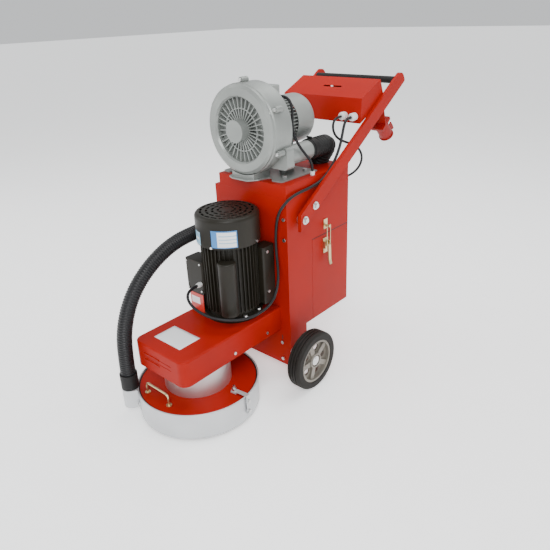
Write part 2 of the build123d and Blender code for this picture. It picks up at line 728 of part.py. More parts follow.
def blower_tray():
    y1 = CAB_REAR - SHEET
    outer = block(TRAY_LEFT, CAB_HALF, CAB_FRONT, y1, CAB_TOP, TRAY_TOP)
    y0 = CAB_FRONT + SHEET
    inner = block(TRAY_LEFT + SHEET, CAB_HALF - SHEET, y0, y1 - SHEET, CAB_TOP - 1, TRAY_TOP - SHEET)
    return outer - inner - rod_z(ELBOW_X, ELBOW_Y, TRAY_TOP - 5, TRAY_TOP + 1, 27)


def hose_collar():
    flange = rod_y(HOSE_PANEL_X, CAB_FRONT - 3, CAB_FRONT, HOSE_PANEL_Z, 27.5)
    neck = rod_y(HOSE_PANEL_X, HOSE_END_Y, CAB_FRONT, HOSE_PANEL_Z, 26)
    return flange + neck - rod_y(HOSE_PANEL_X, HOSE_END_Y - 1, CAB_FRONT + 1, HOSE_PANEL_Z, 21)


HUB_FACE = WHEEL_FACE - 10
HUB_BACK = WHEEL_FACE - WHEEL_WIDE


def axle_set():
    """The axle, and on each side the spacer tube and the outer washer."""
    reach = WHEEL_FACE - 5
    shaft = rod_x(-reach, reach, WHEEL_Y, WHEEL_R, AXLE_D / 2)
    spacer = ring_x(CAB_HALF + 0.1, HUB_BACK - GAP, WHEEL_Y, WHEEL_R, 15, AXLE_D / 2 + 0.1)
    washer = ring_x(HUB_FACE + GAP, HUB_FACE + 4, WHEEL_Y, WHEEL_R, 16, AXLE_D / 2)
    return [shaft, spacer, mirrored(spacer), washer, mirrored(washer)]


def wheel_rim():
    """Cast rim: a barrel, five broad spokes and a hub."""
    x0 = HUB_BACK
    x1 = WHEEL_FACE
    barrel = ring_x(x0 + 3, x1 - 2, WHEEL_Y, WHEEL_R, RIM_R, RIM_R - 8)
    hub = rod_x(x0, x1 - 5, WHEEL_Y, WHEEL_R, HUB_R)
    web = ring_x(x1 - 22, x1 - 16, WHEEL_Y, WHEEL_R, RIM_R - 4, HUB_R - 4)
    spokes = Part()
    for step in range(SPOKES):
        spoke = block(x1 - 22, x1 - 8, -9, 9, HUB_R - 6, RIM_R - 4)
        spokes += Pos(0, WHEEL_Y, WHEEL_R) * Rot(360 / SPOKES * step + 20, 0, 0) * spoke
    windows = Part()
    for step in range(SPOKES):
        turn = Rot(360 / SPOKES * (step + 0.5) + 20, 0, 0)
        windows += Pos(0, WHEEL_Y, WHEEL_R) * turn * rod_x(x1 - 24, x1 - 14, 0, 46, 13)
    body = barrel + hub + (web - windows) + spokes
    body -= rod_x(x0 - 1, x1 + 1, WHEEL_Y, WHEEL_R, AXLE_D / 2 + RUNNING)
    return body - rod_x(HUB_FACE, x1 + 1, WHEEL_Y, WHEEL_R, HUB_R - 5)


def wheel_tyre():
    x0 = HUB_BACK
    x1 = WHEEL_FACE
    tyre = rod_x(x0, x1, WHEEL_Y, WHEEL_R, WHEEL_R)
    tyre = fillet(tyre.edges().filter_by(GeomType.CIRCLE), 9)
    tyre -= rod_x(x0 - 1, x1 + 1, WHEEL_Y, WHEEL_R, RIM_R)
    for x in (x0 + 14, x0 + 24.5, x0 + 35):
        tyre -= ring_x(x - 1.6, x + 1.6, WHEEL_Y, WHEEL_R, WHEEL_R + 1, WHEEL_R - 3.5)
    return tyre


def mount_bolts():
    """Bolts on the cabinet's front: two for the belt housing and two for the cable clips."""
    pieces = []
    for side in (-1, 1):
        for z in (129, 64):
            pieces.append(rod_y(side * 121, CAB_FRONT - 5, CAB_FRONT - 0.1, z, 6))
    for z in (507, 574):
        pieces.append(rod_y(143, CAB_FRONT - 5, CAB_FRONT - 0.1, z, 6))
    return pieces


# ================================================================ handle
BAR_DIR = (cos(radians(BAR_ANGLE)), sin(radians(BAR_ANGLE)))


def bar_point(along, drop):
    """A point in Y and Z on the bar: along it, and below its upper edge."""
    y = BAR_START[0] + along * BAR_DIR[0] + drop * BAR_DIR[1]
    z = BAR_START[1] + along * BAR_DIR[1] - drop * BAR_DIR[0]
    return y, z


def bar_bolt_places():
    return [bar_point(along, BAR_BOLT_DROP) for along in BAR_BOLTS]


def handle_bar(side):
    low = (BAR_START[0], BAR_START[1] - BAR_DEEP / BAR_DIR[0])
    edge = [BAR_START, bar_point(BAR_LONG, 0), bar_point(BAR_LONG, BAR_DEEP), low]
    bar = side_plate(edge, BAR_INNER, BAR_INNER + BAR_THICK)
    corners = bar.edges().filter_by(Axis.X).sort_by(Axis.Y)
    bar = fillet([corners[-1]], 8)
    corners = bar.edges().filter_by(Axis.X).sort_by(Axis.Z)
    bar = fillet([corners[-1]], 24)
    for y, z in bar_bolt_places():
        bar -= rod_x(BAR_INNER - 1, BAR_INNER + BAR_THICK + 1, y, z, 5 + BOLT_PLAY)
    return bar if side > 0 else mirrored(bar)


def bar_spacers():
    pieces = []
    for y, z in bar_bolt_places():
        spacer = ring_x(CAB_HALF + 0.1, BAR_INNER - 0.1, y, z, 13, 5 + BOLT_PLAY)
        pieces += [spacer, mirrored(spacer)]
    return pieces


def handle_bolts():
    x0 = BAR_INNER + BAR_THICK
    pieces = []
    for y, z in bar_bolt_places():
        shank = rod_x(CAB_HALF - SHEET - 8, x0 + 1, y, z, 5)
        washer = rod_x(x0 + 0.1, x0 + 2.4, y, z, 13)
        head = Pos(x0 + 2.3, y, z) * Rot(0, 90, 0) * extrude(RegularPolygon(8.5, 6), 6.5)
        bolt = shank + washer + head
        pieces += [bolt, mirrored(bolt)]
    return pieces


def grip_place():
    return bar_point(GRIP_ALONG, GRIP_DROP)


def handle_grip():
    y, z = grip_place()
    return rod_x(-BAR_INNER + 0.1, BAR_INNER - 0.1, y, z, GRIP_D / 2)


# ================================================================ control box
BOX_HALF = BAR_INNER - 0.4
PANEL_DIR = Vector(0, BOX_BOTTOM_REAR[0] - BOX_RIDGE[0], BOX_BOTTOM_REAR[1] - BOX_RIDGE[1]).normalized()
PANEL_OUT = Vector(0, -PANEL_DIR.Z, PANEL_DIR.Y)
BUTTONS = {"start_button": -60.0, "stop_button": -15.0}
BUTTON_DOWN = 32.0        # how far the buttons stand below the box's ridge
BUTTON_R = 11.0
BUTTON_OUT = 7.0
BUTTON_TRAVEL = 4.0
BEZEL_R = 15.0
PANEL_EDGE = 8.0


def box_outline():
    return [BOX_BOTTOM_FRONT, BOX_BEND, BOX_RIDGE, BOX_BOTTOM_REAR]


def control_shell():
    section = outline(box_outline())
    inside = offset(section, -SHEET, kind=Kind.INTERSECTION)
    box = Pos(-BOX_HALF, 0, 0) * extrude(Plane.YZ * section, 2 * BOX_HALF)
    box -= Pos(-BOX_HALF + SHEET, 0, 0) * extrude(Plane.YZ * inside, 2 * (BOX_HALF - SHEET))
    edge = BOX_HALF - PANEL_EDGE
    window = panel_block(-edge, edge, 4, panel_long() - 6, -SHEET - 1, 1)
    return box - window - slot_block() - gland_holes()


def panel_long():
    return hypot(BOX_BOTTOM_REAR[0] - BOX_RIDGE[0], BOX_BOTTOM_REAR[1] - BOX_RIDGE[1])


def panel_place(x, down, out):
    base = Vector(x, BOX_RIDGE[0], BOX_RIDGE[1])
    return base + PANEL_DIR * down + PANEL_OUT * out


def panel_plane(x, down, out):
    origin = panel_place(x, down, out)
    return Plane(origin=origin, x_dir=(1, 0, 0), z_dir=PANEL_OUT)


def panel_block(x0, x1, down0, down1, out0, out1):
    middle = panel_plane((x0 + x1) / 2, (down0 + down1) / 2, (out0 + out1) / 2)
    return middle * Box(x1 - x0, down1 - down0, out1 - out0)


def control_panel():
    """The rear plate with its buttons' holes, and the bezel round each button."""
    edge = BOX_HALF - PANEL_EDGE - 0.2
    plate = panel_block(-edge, edge, 4.2, panel_long() - 6.2, -SHEET, 0)
    bezels = []
    for x in BUTTONS.values():
        plate -= panel_plane(x, BUTTON_DOWN, 0) * Cylinder(BUTTON_R + GAP, 12)
        ring = Cylinder(BEZEL_R, 3.8) - Cylinder(BUTTON_R + GAP, 8)
        bezels.append(panel_plane(x, BUTTON_DOWN, 2) * ring)
    return [plate] + bezels


def control_box():
    return [control_shell()] + control_panel()


SLOT_ALONG = 56.0
SLOT_X = (-31.0, 44.0)


def slot_block():
    """Long narrow window in the sloping face."""
    run = Vector(0, BOX_RIDGE[0] - BOX_BEND[0], BOX_RIDGE[1] - BOX_BEND[1]).normalized()
    place = Vector((SLOT_X[0] + SLOT_X[1]) / 2, *BOX_BEND) + run * (SLOT_ALONG + 6)
    plane = Plane(origin=place, x_dir=(1, 0, 0), z_dir=Vector(0, -run.Z, run.Y))
    return plane * Box(SLOT_X[1] - SLOT_X[0], 9, 8)


GLAND_X = (103.0, 143.0)
GLAND_Z = 826.0


def gland_face_y():
    rise = (GLAND_Z - BOX_BOTTOM_FRONT[1]) / (BOX_BEND[1] - BOX_BOTTOM_FRONT[1])
    return BOX_BOTTOM_FRONT[0] + rise * (BOX_BEND[0] - BOX_BOTTOM_FRONT[0])


def gland_holes():
    y = gland_face_y()
    return rod_y(GLAND_X[0], y - 4, y + 8, GLAND_Z, 9) + rod_y(GLAND_X[1], y - 4, y + 8, GLAND_Z, 9)


GLAND_REACH = 24.0


def cable_glands():
    """Two glands under the control box, and those of the motor, the cabinet and the blower."""
    y = gland_face_y()
    pieces = []
    for x in GLAND_X:
        body = rod_y(x, y - GLAND_REACH, y - 1.3, GLAND_Z, 13)
        body = fillet(body.edges().sort_by(Axis.Y)[0], 5)
        pieces.append(body + rod_y(x, y - 2, y + 6, GLAND_Z, 8.8))
    return pieces + [motor_gland(), rear_cable_entry(), tray_grommet(), blower_gland()]


def contactor():
    y0, z0 = BOX_BOTTOM_FRONT
    y1, z1 = BOX_BOTTOM_REAR
    y = y0 + 82
    floor = z0 + (z1 - z0) * (y - y0) / (y1 - y0) + SHEET + 0.5
    return block(-60, 20, y - 45, y, floor, floor + 44)


def contact_blocks():
    """One switch block behind each button, out of reach of the pressed button."""
    out = BUTTON_OUT - 14 - BUTTON_TRAVEL - 1
    high = BUTTON_DOWN + 12
    low = BUTTON_DOWN - 12
    return [panel_block(x - 10, x + 10, low, high, out - 24, out) for x in BUTTONS.values()]


def electrical_parts():
    return stator_windings() + capacitors() + [contactor()] + contact_blocks()


def push_button(name):
    middle = BUTTON_OUT - 7
    button = panel_plane(BUTTONS[name], BUTTON_DOWN, middle) * Cylinder(BUTTON_R, 14)
    return fillet(button.edges().sort_by(Axis.Y)[-1], 2)


INLET_X = 138.0
INLET_Y = 826.0
INLET_Z = 776.0
INLET_TILT = 48.0         # degrees that the inlet looks below the horizontal
INLET_R = 24.0
INLET_LONG = 62.0
HINGE_UP = INLET_R + 9      # the cap's hinge pin above the inlet's axis
EAR_X = 10.5


def inlet_plane(along):
    tilt = radians(INLET_TILT)
    out = Vector(0, cos(tilt), -sin(tilt))
    origin = Vector(INLET_X, INLET_Y, INLET_Z) + out * along
    return Plane(origin=origin, x_dir=(-1, 0, 0), z_dir=out)


def box_floor_z(y):
    """Height of the control box's underside, less a hair."""
    slope = (BOX_BOTTOM_REAR[1] - BOX_BOTTOM_FRONT[1]) / (BOX_BOTTOM_REAR[0] - BOX_BOTTOM_FRONT[0])
    return BOX_BOTTOM_FRONT[1] + slope * (y - BOX_BOTTOM_FRONT[0]) - 0.15


def inlet_bracket():
    """Bent plate: its lip lies under the control box and its web hangs down to the inlet."""
    y0 = BOX_BOTTOM_REAR[0] - 26
    y1 = BOX_BOTTOM_REAR[0] - 4
    lip = [(y0, box_floor_z(y0)), (y1, box_floor_z(y1)), (y1, box_floor_z(y1) - 3), (y0, box_floor_z(y0) - 3)]
    low_y = INLET_Y - 4
    low_z = INLET_Z - 1
    web = [(y1 - 3, box_floor_z(y1 - 3)), (y1, box_floor_z(y1)), (low_y, low_z), (low_y - 3, low_z - 1)]
    x0 = INLET_X - 26
    x1 = INLET_X + 26
    plate = side_plate(lip, x0, x1) + side_plate(web, x0, x1)
    return plate + inlet_plane(-1.5) * Box(52, 60, 3)


def power_inlet():
    """Shrouded socket with three pins, and the ears and pin of its cap's hinge."""
    body = inlet_plane(INLET_LONG / 2) * Cylinder(INLET_R, INLET_LONG)
    body += inlet_plane(4) * Box(50, 58, 8)
    for side in (-1, 1):
        body += inlet_plane(INLET_LONG - 12) * (Pos(side * EAR_X, INLET_R + 5, 0) * Box(5, 18, 24))
        body += inlet_plane(INLET_LONG + 1.5) * (Pos(side * EAR_X, HINGE_UP, 0) * Box(5, 8, 12))
    body -= inlet_plane(INLET_LONG / 2 + 14) * Cylinder(INLET_R - 4, INLET_LONG)
    for step in range(3):
        turn = radians(120 * step)
        pin = Pos(11 * cos(turn), 11 * sin(turn), 0) * Cylinder(3, INLET_LONG - 22)
        body += inlet_plane(INLET_LONG / 2 + 2) * pin
    pivot = Pos(0, HINGE_UP, 0) * Rot(0, 90, 0) * Cylinder(2, 2 * EAR_X)
    return body + inlet_plane(INLET_LONG + 3) * pivot


def inlet_cap():
    """Round flap over the socket, hinged on its upper side."""
    plan = Circle(INLET_R + 3) + Pos(0, HINGE_UP - 7) * Rectangle(14, 14)
    cap = inlet_plane(INLET_LONG + 0.5) * extrude(plan, 5)
    knuckle = Pos(0, HINGE_UP, 0) * Rot(0, 90, 0) * Cylinder(4, 14)
    bore = Pos(0, HINGE_UP, 0) * Rot(0, 90, 0) * Cylinder(2 + RUNNING, 20)
    hinge = inlet_plane(INLET_LONG + 3)
    return cap + hinge * knuckle - hinge * bore


# ================================================================ toggle latches
LATCH_Y = 474.0
LATCH_PIVOT = (161.0, 432.0)
LATCH_ARM = 8.0
LOOP_TOP = 503.0
LOOP_HALF = 9.0
WIRE_R = 1.5
LEVER_WIDE = 13.0


def both_sides(shape, side):
    return shape if side > 0 else mirrored(shape)


def latch_base():
    px, pz = LATCH_PIVOT
    plate = block(CAB_HALF + 0.1, CAB_HALF + 2, LATCH_Y - 13, LATCH_Y + 13, pz - 30, pz + 24)
    for y0 in (LATCH_Y - 13, LATCH_Y + 11):
        plate += block(CAB_HALF + 0.1, px + 4, y0, y0 + 2, pz - 12, pz + 12)
    return plate + rod_y(px, LATCH_Y - 13, LATCH_Y + 13, pz, 2)


def latch_keeper():
    """Hook on the cabinet: a ledge under the loop's bar and a lip outside it."""
    qx = LATCH_PIVOT[0] + LATCH_ARM
    plate = block(CAB_HALF + 0.1, CAB_HALF + 2.2, LATCH_Y - 10, LATCH_Y + 10, LOOP_TOP - 15, LOOP_TOP + 19)
    under = LOOP_TOP - WIRE_R - GAP
    ledge = block(CAB_HALF + 1, qx + 4, LATCH_Y - 5, LATCH_Y + 5, under - 4, under)
    lip = block(qx + WIRE_R + GAP, qx + 4, LATCH_Y - 5, LATCH_Y + 5, under - 2, LOOP_TOP + 1.5)
    return plate + ledge + lip


def latch_bases():
    pieces = [latch_base(), latch_keeper()]
    return pieces + [mirrored(piece) for piece in pieces]


def latch_lever(side):
    px, pz = LATCH_PIVOT
    qx = px + LATCH_ARM
    plan = Pos(px, pz) * Circle(4.4) + Pos(qx, pz) * Circle(4)
    plan += outline([(px, pz - 4), (qx, pz - 4), (qx, pz + 4), (px, pz + 4)])
    knee = pz - 52
    tip = pz - 68
    back = [(qx + 7, tip), (qx + 2, knee), (qx - 2, pz)]
    plan += outline([(qx + 4, pz), (qx + 6, knee), (qx + 10, tip)] + back)
    lever = Pos(0, LATCH_Y + LEVER_WIDE / 2, 0) * extrude(Plane.XZ * plan, LEVER_WIDE)
    lever -= rod_y(px, LATCH_Y - 8, LATCH_Y + 8, pz, 2 + RUNNING)
    lever -= rod_y(qx, LATCH_Y - 8, LATCH_Y + 8, pz, WIRE_R + RUNNING)
    return both_sides(lever, side)


def latch_loop(side):
    """Closed wire loop, from the lever up to the keeper."""
    qx = LATCH_PIVOT[0] + LATCH_ARM
    z0 = LATCH_PIVOT[1]
    y0 = LATCH_Y - LOOP_HALF
    y1 = LATCH_Y + LOOP_HALF
    loop = rod_y(qx, y0, y1, z0, WIRE_R) + rod_y(qx, y0, y1, LOOP_TOP, WIRE_R)
    for y in (y0, y1):
        loop += rod_z(qx, y, z0, LOOP_TOP, WIRE_R)
        loop += Pos(qx, y, z0) * Sphere(WIRE_R) + Pos(qx, y, LOOP_TOP) * Sphere(WIRE_R)
    return both_sides(loop, side)


# ================================================================ blower
def on_blower(shape):
    """Stands a shape drawn about the Z axis on the blower's own axis, its +Z along +Y."""
    return Pos(BLOWER_X, 0, BLOWER_Z) * Rot(-90, 0, 0) * shape


def turned(x_y_pairs):
    """A body turned about the blower's axis, from radius and depth pairs."""
    return on_blower(revolve(Plane.XZ * outline(x_y_pairs), Axis.Z))


def lug(angle, y0, y1, r):
    """An ear of the blower at an angle above +X, from y0 to y1."""
    return on_blower(Rot(0, 0, -angle) * rod_z(LUG_R, 0, y0, y1, r))


def blower_cover():
    """Cast front cover: rolled rim, radial cooling ribs, and a raised hub."""
    y0 = BLOWER_FRONT
    y1 = BLOWER_SPLIT
    skin = BLOWER_R - BLOWER_WALL
    profile = [(GRILLE_R, y1 - 12), (GRILLE_R, y0 + 6), (GRILLE_R + 5, y0), (BLOWER_R - 12, y0),
               (BLOWER_R - 3, y0 + 6), (BLOWER_R - 3, y0 + 14), (BLOWER_R, y0 + 18), (BLOWER_R, y1),
               (skin, y1), (skin, y0 + 22), (GRILLE_R + 8, y0 + 14), (GRILLE_R + 8, y1 - 12)]
    body = turned(profile)
    body += rod_y(BLOWER_X, y0 + 22, y0 + 27, BLOWER_Z, GRILLE_R + 2)
    body += rod_y(BLOWER_X, HUB_DISC_FRONT, y0 + 25, BLOWER_Z, HUB_DISC_R)
    body += ring_y(BLOWER_X, y0 + 12, y0 + 24, BLOWER_Z, 66, 62)
    for step in range(GRILLE_RIBS):
        rib = block(HUB_DISC_R - 4, GRILLE_R + 2, -1.6, 1.6, y0 + 10, y0 + 24)
        body += on_blower(Rot(0, 0, 360 / GRILLE_RIBS * (step + 0.5)) * rib)
    for angle in LUG_ANGLES:
        body += lug(angle, y1 - 14, y1, 9)
    return body


def blower_casing():
    """Rear half of the casing, with the square mouths that the mufflers stand on."""
    y0 = BLOWER_SPLIT
    y1 = BLOWER_BACK
    inner = BLOWER_R - BLOWER_WALL
    shell = ring_y(BLOWER_X, y0, y1, BLOWER_Z, BLOWER_R, inner)
    shell += ring_y(BLOWER_X, y1 - 7, y1, BLOWER_Z, BLOWER_R, BLOWER_SHAFT_D / 2 + 1)
    for angle in LUG_ANGLES:
        shell += lug(angle, y0, y0 + 12, 9)
    for side in (-1, 1):
        x = BLOWER_X + side * SILENCER_OFFSET
        reach = SILENCER_R + 4
        mouth = block(x - reach, x + reach, y1 - 34, y1, SILENCER_Z - reach, SILENCER_Z + reach)
        shell += fillet(mouth.edges().filter_by(Axis.Y), 12)
    shell -= rod_y(BLOWER_X, y0 - 1, y1 - 7, BLOWER_Z, inner)
    for side in (-1, 1):
        shell -= rod_y(BLOWER_X + side * SILENCER_OFFSET, y1 - 26, y1 + 1, SILENCER_Z, SILENCER_R - 8)
    return shell


def blower_screws():
    y1 = BLOWER_SPLIT - 14
    return [lug(angle, y1 - 6, y1, 5.5) for angle in LUG_ANGLES]


def blower_foot():
    """Pressed base plate with a wavy front edge, a saddle and two motor posts."""
    x = BLOWER_X
    edge = [(x - 119, 300), (x - 92, 296), (x - 72, 322), (x - 54, 262), (x - 30, 252), (x + 34, 252),
            (x + 56, 280), (x + 70, 326), (x + 96, 296), (x + 134, 300), (x + 138, 470), (x - 119, 470)]
    plan = outline(edge)
    plan = fillet(plan.vertices().sort_by(Axis.Y)[:10], 9)
    foot = Pos(0, 0, TRAY_TOP + 0.1) * extrude(plan, FOOT_THICK)
    z0 = TRAY_TOP + FOOT_THICK - 1
    foot += block(x - 46, x + 46, 270, BLOWER_BACK - 8, z0, BLOWER_Z - BLOWER_R + 14)
    for side in (-1, 1):
        foot += block(x + side * 60 - 5, x + side * 60 + 5, 380, 440, z0, BLOWER_Z - 30)
    foot -= rod_y(x, 260, BLOWER_BACK + 2, BLOWER_Z, BLOWER_R + 0.1)
    return foot - rod_y(x, 370, 450, BLOWER_Z, BLOWER_FIN_R + 0.1)


def foot_bolts():
    pieces = []
    for px, py in ((96, 344), (97, 443), (-120, 344), (-120, 443)):
        z0 = TRAY_TOP + FOOT_THICK + 0.2
        pieces.append(hex_z(px, py, z0, z0 + 6, 8))
    return pieces


def silencer_tubes():
    """Two mufflers; the right one carries the hose and the left one blows out."""
    pieces = []
    for side in (-1, 1):
        x = BLOWER_X + side * SILENCER_OFFSET
        body = ring_y(x, BLOWER_BACK + 0.1, SILENCER_END, SILENCER_Z, SILENCER_R, SILENCER_R - 4)
        pieces.append(body)
    return pieces


def blower_motor():
    """Finned motor barrel with its end plates, the stator in it, and the terminal box."""
    plan = Circle(66)
    for step in range(44):
        plan += Rot(0, 0, 360 / 44 * step) * (Pos(BLOWER_FIN_R - 6, 0) * Rectangle(12, 2.2))
    y0 = BLOWER_BACK + 0.1
    y1 = FAN_COVER_FRONT
    frame = Pos(0, 0, y0 + 6) * extrude(plan - Circle(60), y1 - y0 - 6)
    frame += Pos(0, 0, y0) * extrude(Circle(68) - Circle(20), 8)
    frame += Pos(0, 0, y1 - 8) * extrude(Circle(66) - Circle(20), 8)
    stator = ring_y(BLOWER_X, y0 + 22, y1 - 24, BLOWER_Z, 60, 36)
    return [on_blower(frame), stator, blower_terminal_box()]


def blower_bearings():
    r_in = BLOWER_SHAFT_D / 2 + RUNNING
    pieces = []
    for y in (BLOWER_BACK + 0.1, FAN_COVER_FRONT - 8):
        pieces.append(ring_y(BLOWER_X, y, y + 7.8, BLOWER_Z, 20, r_in))
    return pieces


def blower_rotor():
    """The shaft with its rotor core, the vaned impeller and the cooling fan."""
    r = BLOWER_SHAFT_D / 2
    shaft = rod_y(BLOWER_X, BLOWER_SPLIT, FAN_COVER_FRONT + 30, BLOWER_Z, r)
    shaft += rod_y(BLOWER_X, BLOWER_BACK + 22, FAN_COVER_FRONT - 24, BLOWER_Z, 35)
    y0 = BLOWER_SPLIT + 6
    wheel = ring_y(BLOWER_X, y0, y0 + 6, BLOWER_Z, 112, r) + ring_y(BLOWER_X, y0, y0 + 22, BLOWER_Z, 28, r)
    for step in range(36):
        wheel += on_blower(Rot(0, 0, 10 * step) * block(88, 122, -1, 1, y0, y0 + 22))
    y1 = FAN_COVER_FRONT + 8
    fan = ring_y(BLOWER_X, y1, y1 + 3, BLOWER_Z, 66, r)
    for step in range(10):
        fan += on_blower(Rot(0, 0, 36 * step) * block(16, 68, -1, 1, y1 + 1, y1 + 20))
    return [shaft, wheel, fan]


def blower_fan_cover():
    length = FAN_COVER_BACK - FAN_COVER_FRONT
    outer = Pos(0, 0, length / 2) * Cylinder(FAN_COVER_R, length)
    outer = fillet(outer.edges().sort_by(Axis.Z)[-1], 16)
    inner = Pos(0, 0, length / 2 - SHEET) * Cylinder(FAN_COVER_R - SHEET, length)
    inner = fillet(inner.edges().sort_by(Axis.Z)[-1], 14)
    cover = outer - inner
    slots = Sketch()
    for r_slot, count in ((18, 6), (32, 10), (46, 14)):
        slot = Pos(r_slot, 0) * Rectangle(6, 2 * pi * r_slot / count - 5)
        for step in range(count):
            slots += Rot(0, 0, 360 / count * step) * slot
    cover -= Pos(0, 0, length - 6) * extrude(slots, 10)
    return Pos(0, FAN_COVER_FRONT + 0.1, 0) * on_blower(cover)


BLOWER_BOX = (-25.0, 48.0, BLOWER_BACK + 4, BLOWER_BACK + 39, 900.0, 953.0)


def blower_terminal_box():
    body = fillet(block(*BLOWER_BOX).edges().filter_by(Axis.Z), 5)
    body = fillet(body.faces().sort_by(Axis.Z)[-1].edges(), 3)
    return body - rod_y(BLOWER_X, BLOWER_BACK, BLOWER_BACK + 50, BLOWER_Z, BLOWER_FIN_R + 0.1)


def blower_gland():
    x = BLOWER_BOX[1]
    return rod_x(x + 0.1, x + 14, 372, 922, 7)


ELBOW_X = 52.0
ELBOW_Y = 567.0
ELBOW_R = 33.0
ELBOW_BEND = 42.0


def suction_elbow():
    """Moulded rubber elbow from the right muffler, back and down into the tray."""
    x0 = BLOWER_X + SILENCER_OFFSET
    y0 = SILENCER_END - 26
    low = (ELBOW_X, ELBOW_Y, TRAY_TOP)
    past = 1.3
    end = (x0 + (low[0] - x0) * past, ELBOW_Y, SILENCER_Z + (low[2] - SILENCER_Z) * past)
    points = [(x0, y0, SILENCER_Z), (x0, ELBOW_Y, SILENCER_Z), end]
    bend = tube(points, ELBOW_R, [ELBOW_BEND]) - tube(points, SILENCER_R + 0.1, [ELBOW_BEND])
    return bend - block(-150, 150, y0, CAB_REAR + 40, TRAY_TOP - 60, TRAY_TOP + 0.1)


def hose_clamp():
    x0 = BLOWER_X + SILENCER_OFFSET
    band = ring_y(x0, SILENCER_END - 20, SILENCER_END - 9, SILENCER_Z, ELBOW_R + 1.4, ELBOW_R + 0.2)
    screw = rod_x(x0 - 9, x0 + 9, SILENCER_END - 14.5, SILENCER_Z + ELBOW_R + 4.6, 3.6)
    return band + screw


# ================================================================ cords
PORT_X = (SKIRT_R + PORT_REACH) * cos(radians(PORT_ANGLE))
PORT_Y = (SKIRT_R + PORT_REACH) * sin(radians(PORT_ANGLE))
HOSE_PANEL_X = -126.0
HOSE_PANEL_Z = 515.0
HOSE_END_Y = CAB_FRONT - 20
HOSE_ROUTE = [(PORT_X, PORT_Y, STUB_TOP), (PORT_X, PORT_Y, 215), (-125, -158, 310), (-126, -112, 400),
              (-128, -35, 465), (-130, 60, 505), (HOSE_PANEL_X, 165, HOSE_PANEL_Z),
              (HOSE_PANEL_X, HOSE_END_Y, HOSE_PANEL_Z)]
GLAND_TIP = gland_face_y() - GLAND_REACH
MOTOR_GLAND_X, MOTOR_GLAND_Y, MOTOR_GLAND_Z = MOTOR_GLAND
MOTOR_CABLE_D = 9.0
MOTOR_CABLE_ROUTE = [(MOTOR_GLAND_X, MOTOR_GLAND_Y - MOTOR_GLAND_LONG, MOTOR_GLAND_Z),
                     (MOTOR_GLAND_X, 46, MOTOR_GLAND_Z), (-40, 20, 359), (-8, 12, 338), (42, 24, 317),
                     (88, 54, 305), (124, 100, 300), (141, 158, 303), (142, 212, 318), (134, 250, 356),
                     (123, 266, 410), (113, 270, 475), (118, 268, 545), (134, 264, 596), (154, 265, 624),
                     (163, 284, 643), (162, 326, 650), (160, 392, 651), (160, 452, 660), (160, 506, 694),
                     (158, 546, 742), (155, 564, 776), (150, 580, 804), (145, 598, 822),
                     (GLAND_X[1], 615, GLAND_Z), (GLAND_X[1], GLAND_TIP, GLAND_Z)]
SUPPLY_CABLE_D = 8.0
SUPPLY_CABLE_ROUTE = [(GLAND_X[0], GLAND_TIP, GLAND_Z), (GLAND_X[0], 600, GLAND_Z), (106, 580, 806),
                      (112, 580, 778), (122, 598, 756), (136, 630, 742), (148, 664, 726), (154, 684, 698),
                      (153, 688, 672), (146, 680, 648), (136, 664, 632), (127, 645, 624), (127, 622, 624)]
BLOWER_CABLE_D = 8.0
BLOWER_CABLE_ROUTE = [(62, 372, 922), (82, 372, 922), (100, 371, 914), (110, 370, 895), (111, 370, 868),
                      (109, 370, 838), (115, 373, 805), (126, 382, 777), (136, 396, 752), (140, 413, 733),
                      (141, 425, 712), (141, 425, 692)]


def port_cuff():
    """Rubber sleeve over the port's stub and the hose's end."""
    return ring_z(PORT_X, PORT_Y, PORT_TOP + 2, 150, STUB_R + 3, STUB_R + 0.2)


def rear_cable_entry():
    x, y, z = SUPPLY_CABLE_ROUTE[-1]
    return rod_y(x, CAB_REAR + 0.1, y, z, 7)


def tray_grommet():
    x, y, z = BLOWER_CABLE_ROUTE[-1]
    return rod_z(x, y, TRAY_TOP + 0.1, z, 7.5)


# ================================================================ build and write
def bearings():
    return spindle_bearings() + motor_bearings() + blower_bearings()


def fasteners():
    head = port_bolts() + clamp_bolts() + housing_screws()
    motor = flange_bolts() + cowl_screws() + case_screws()
    rear = mount_bolts() + foot_bolts() + blower_screws()
    return head + motor + rear + bar_spacers() + handle_bolts()


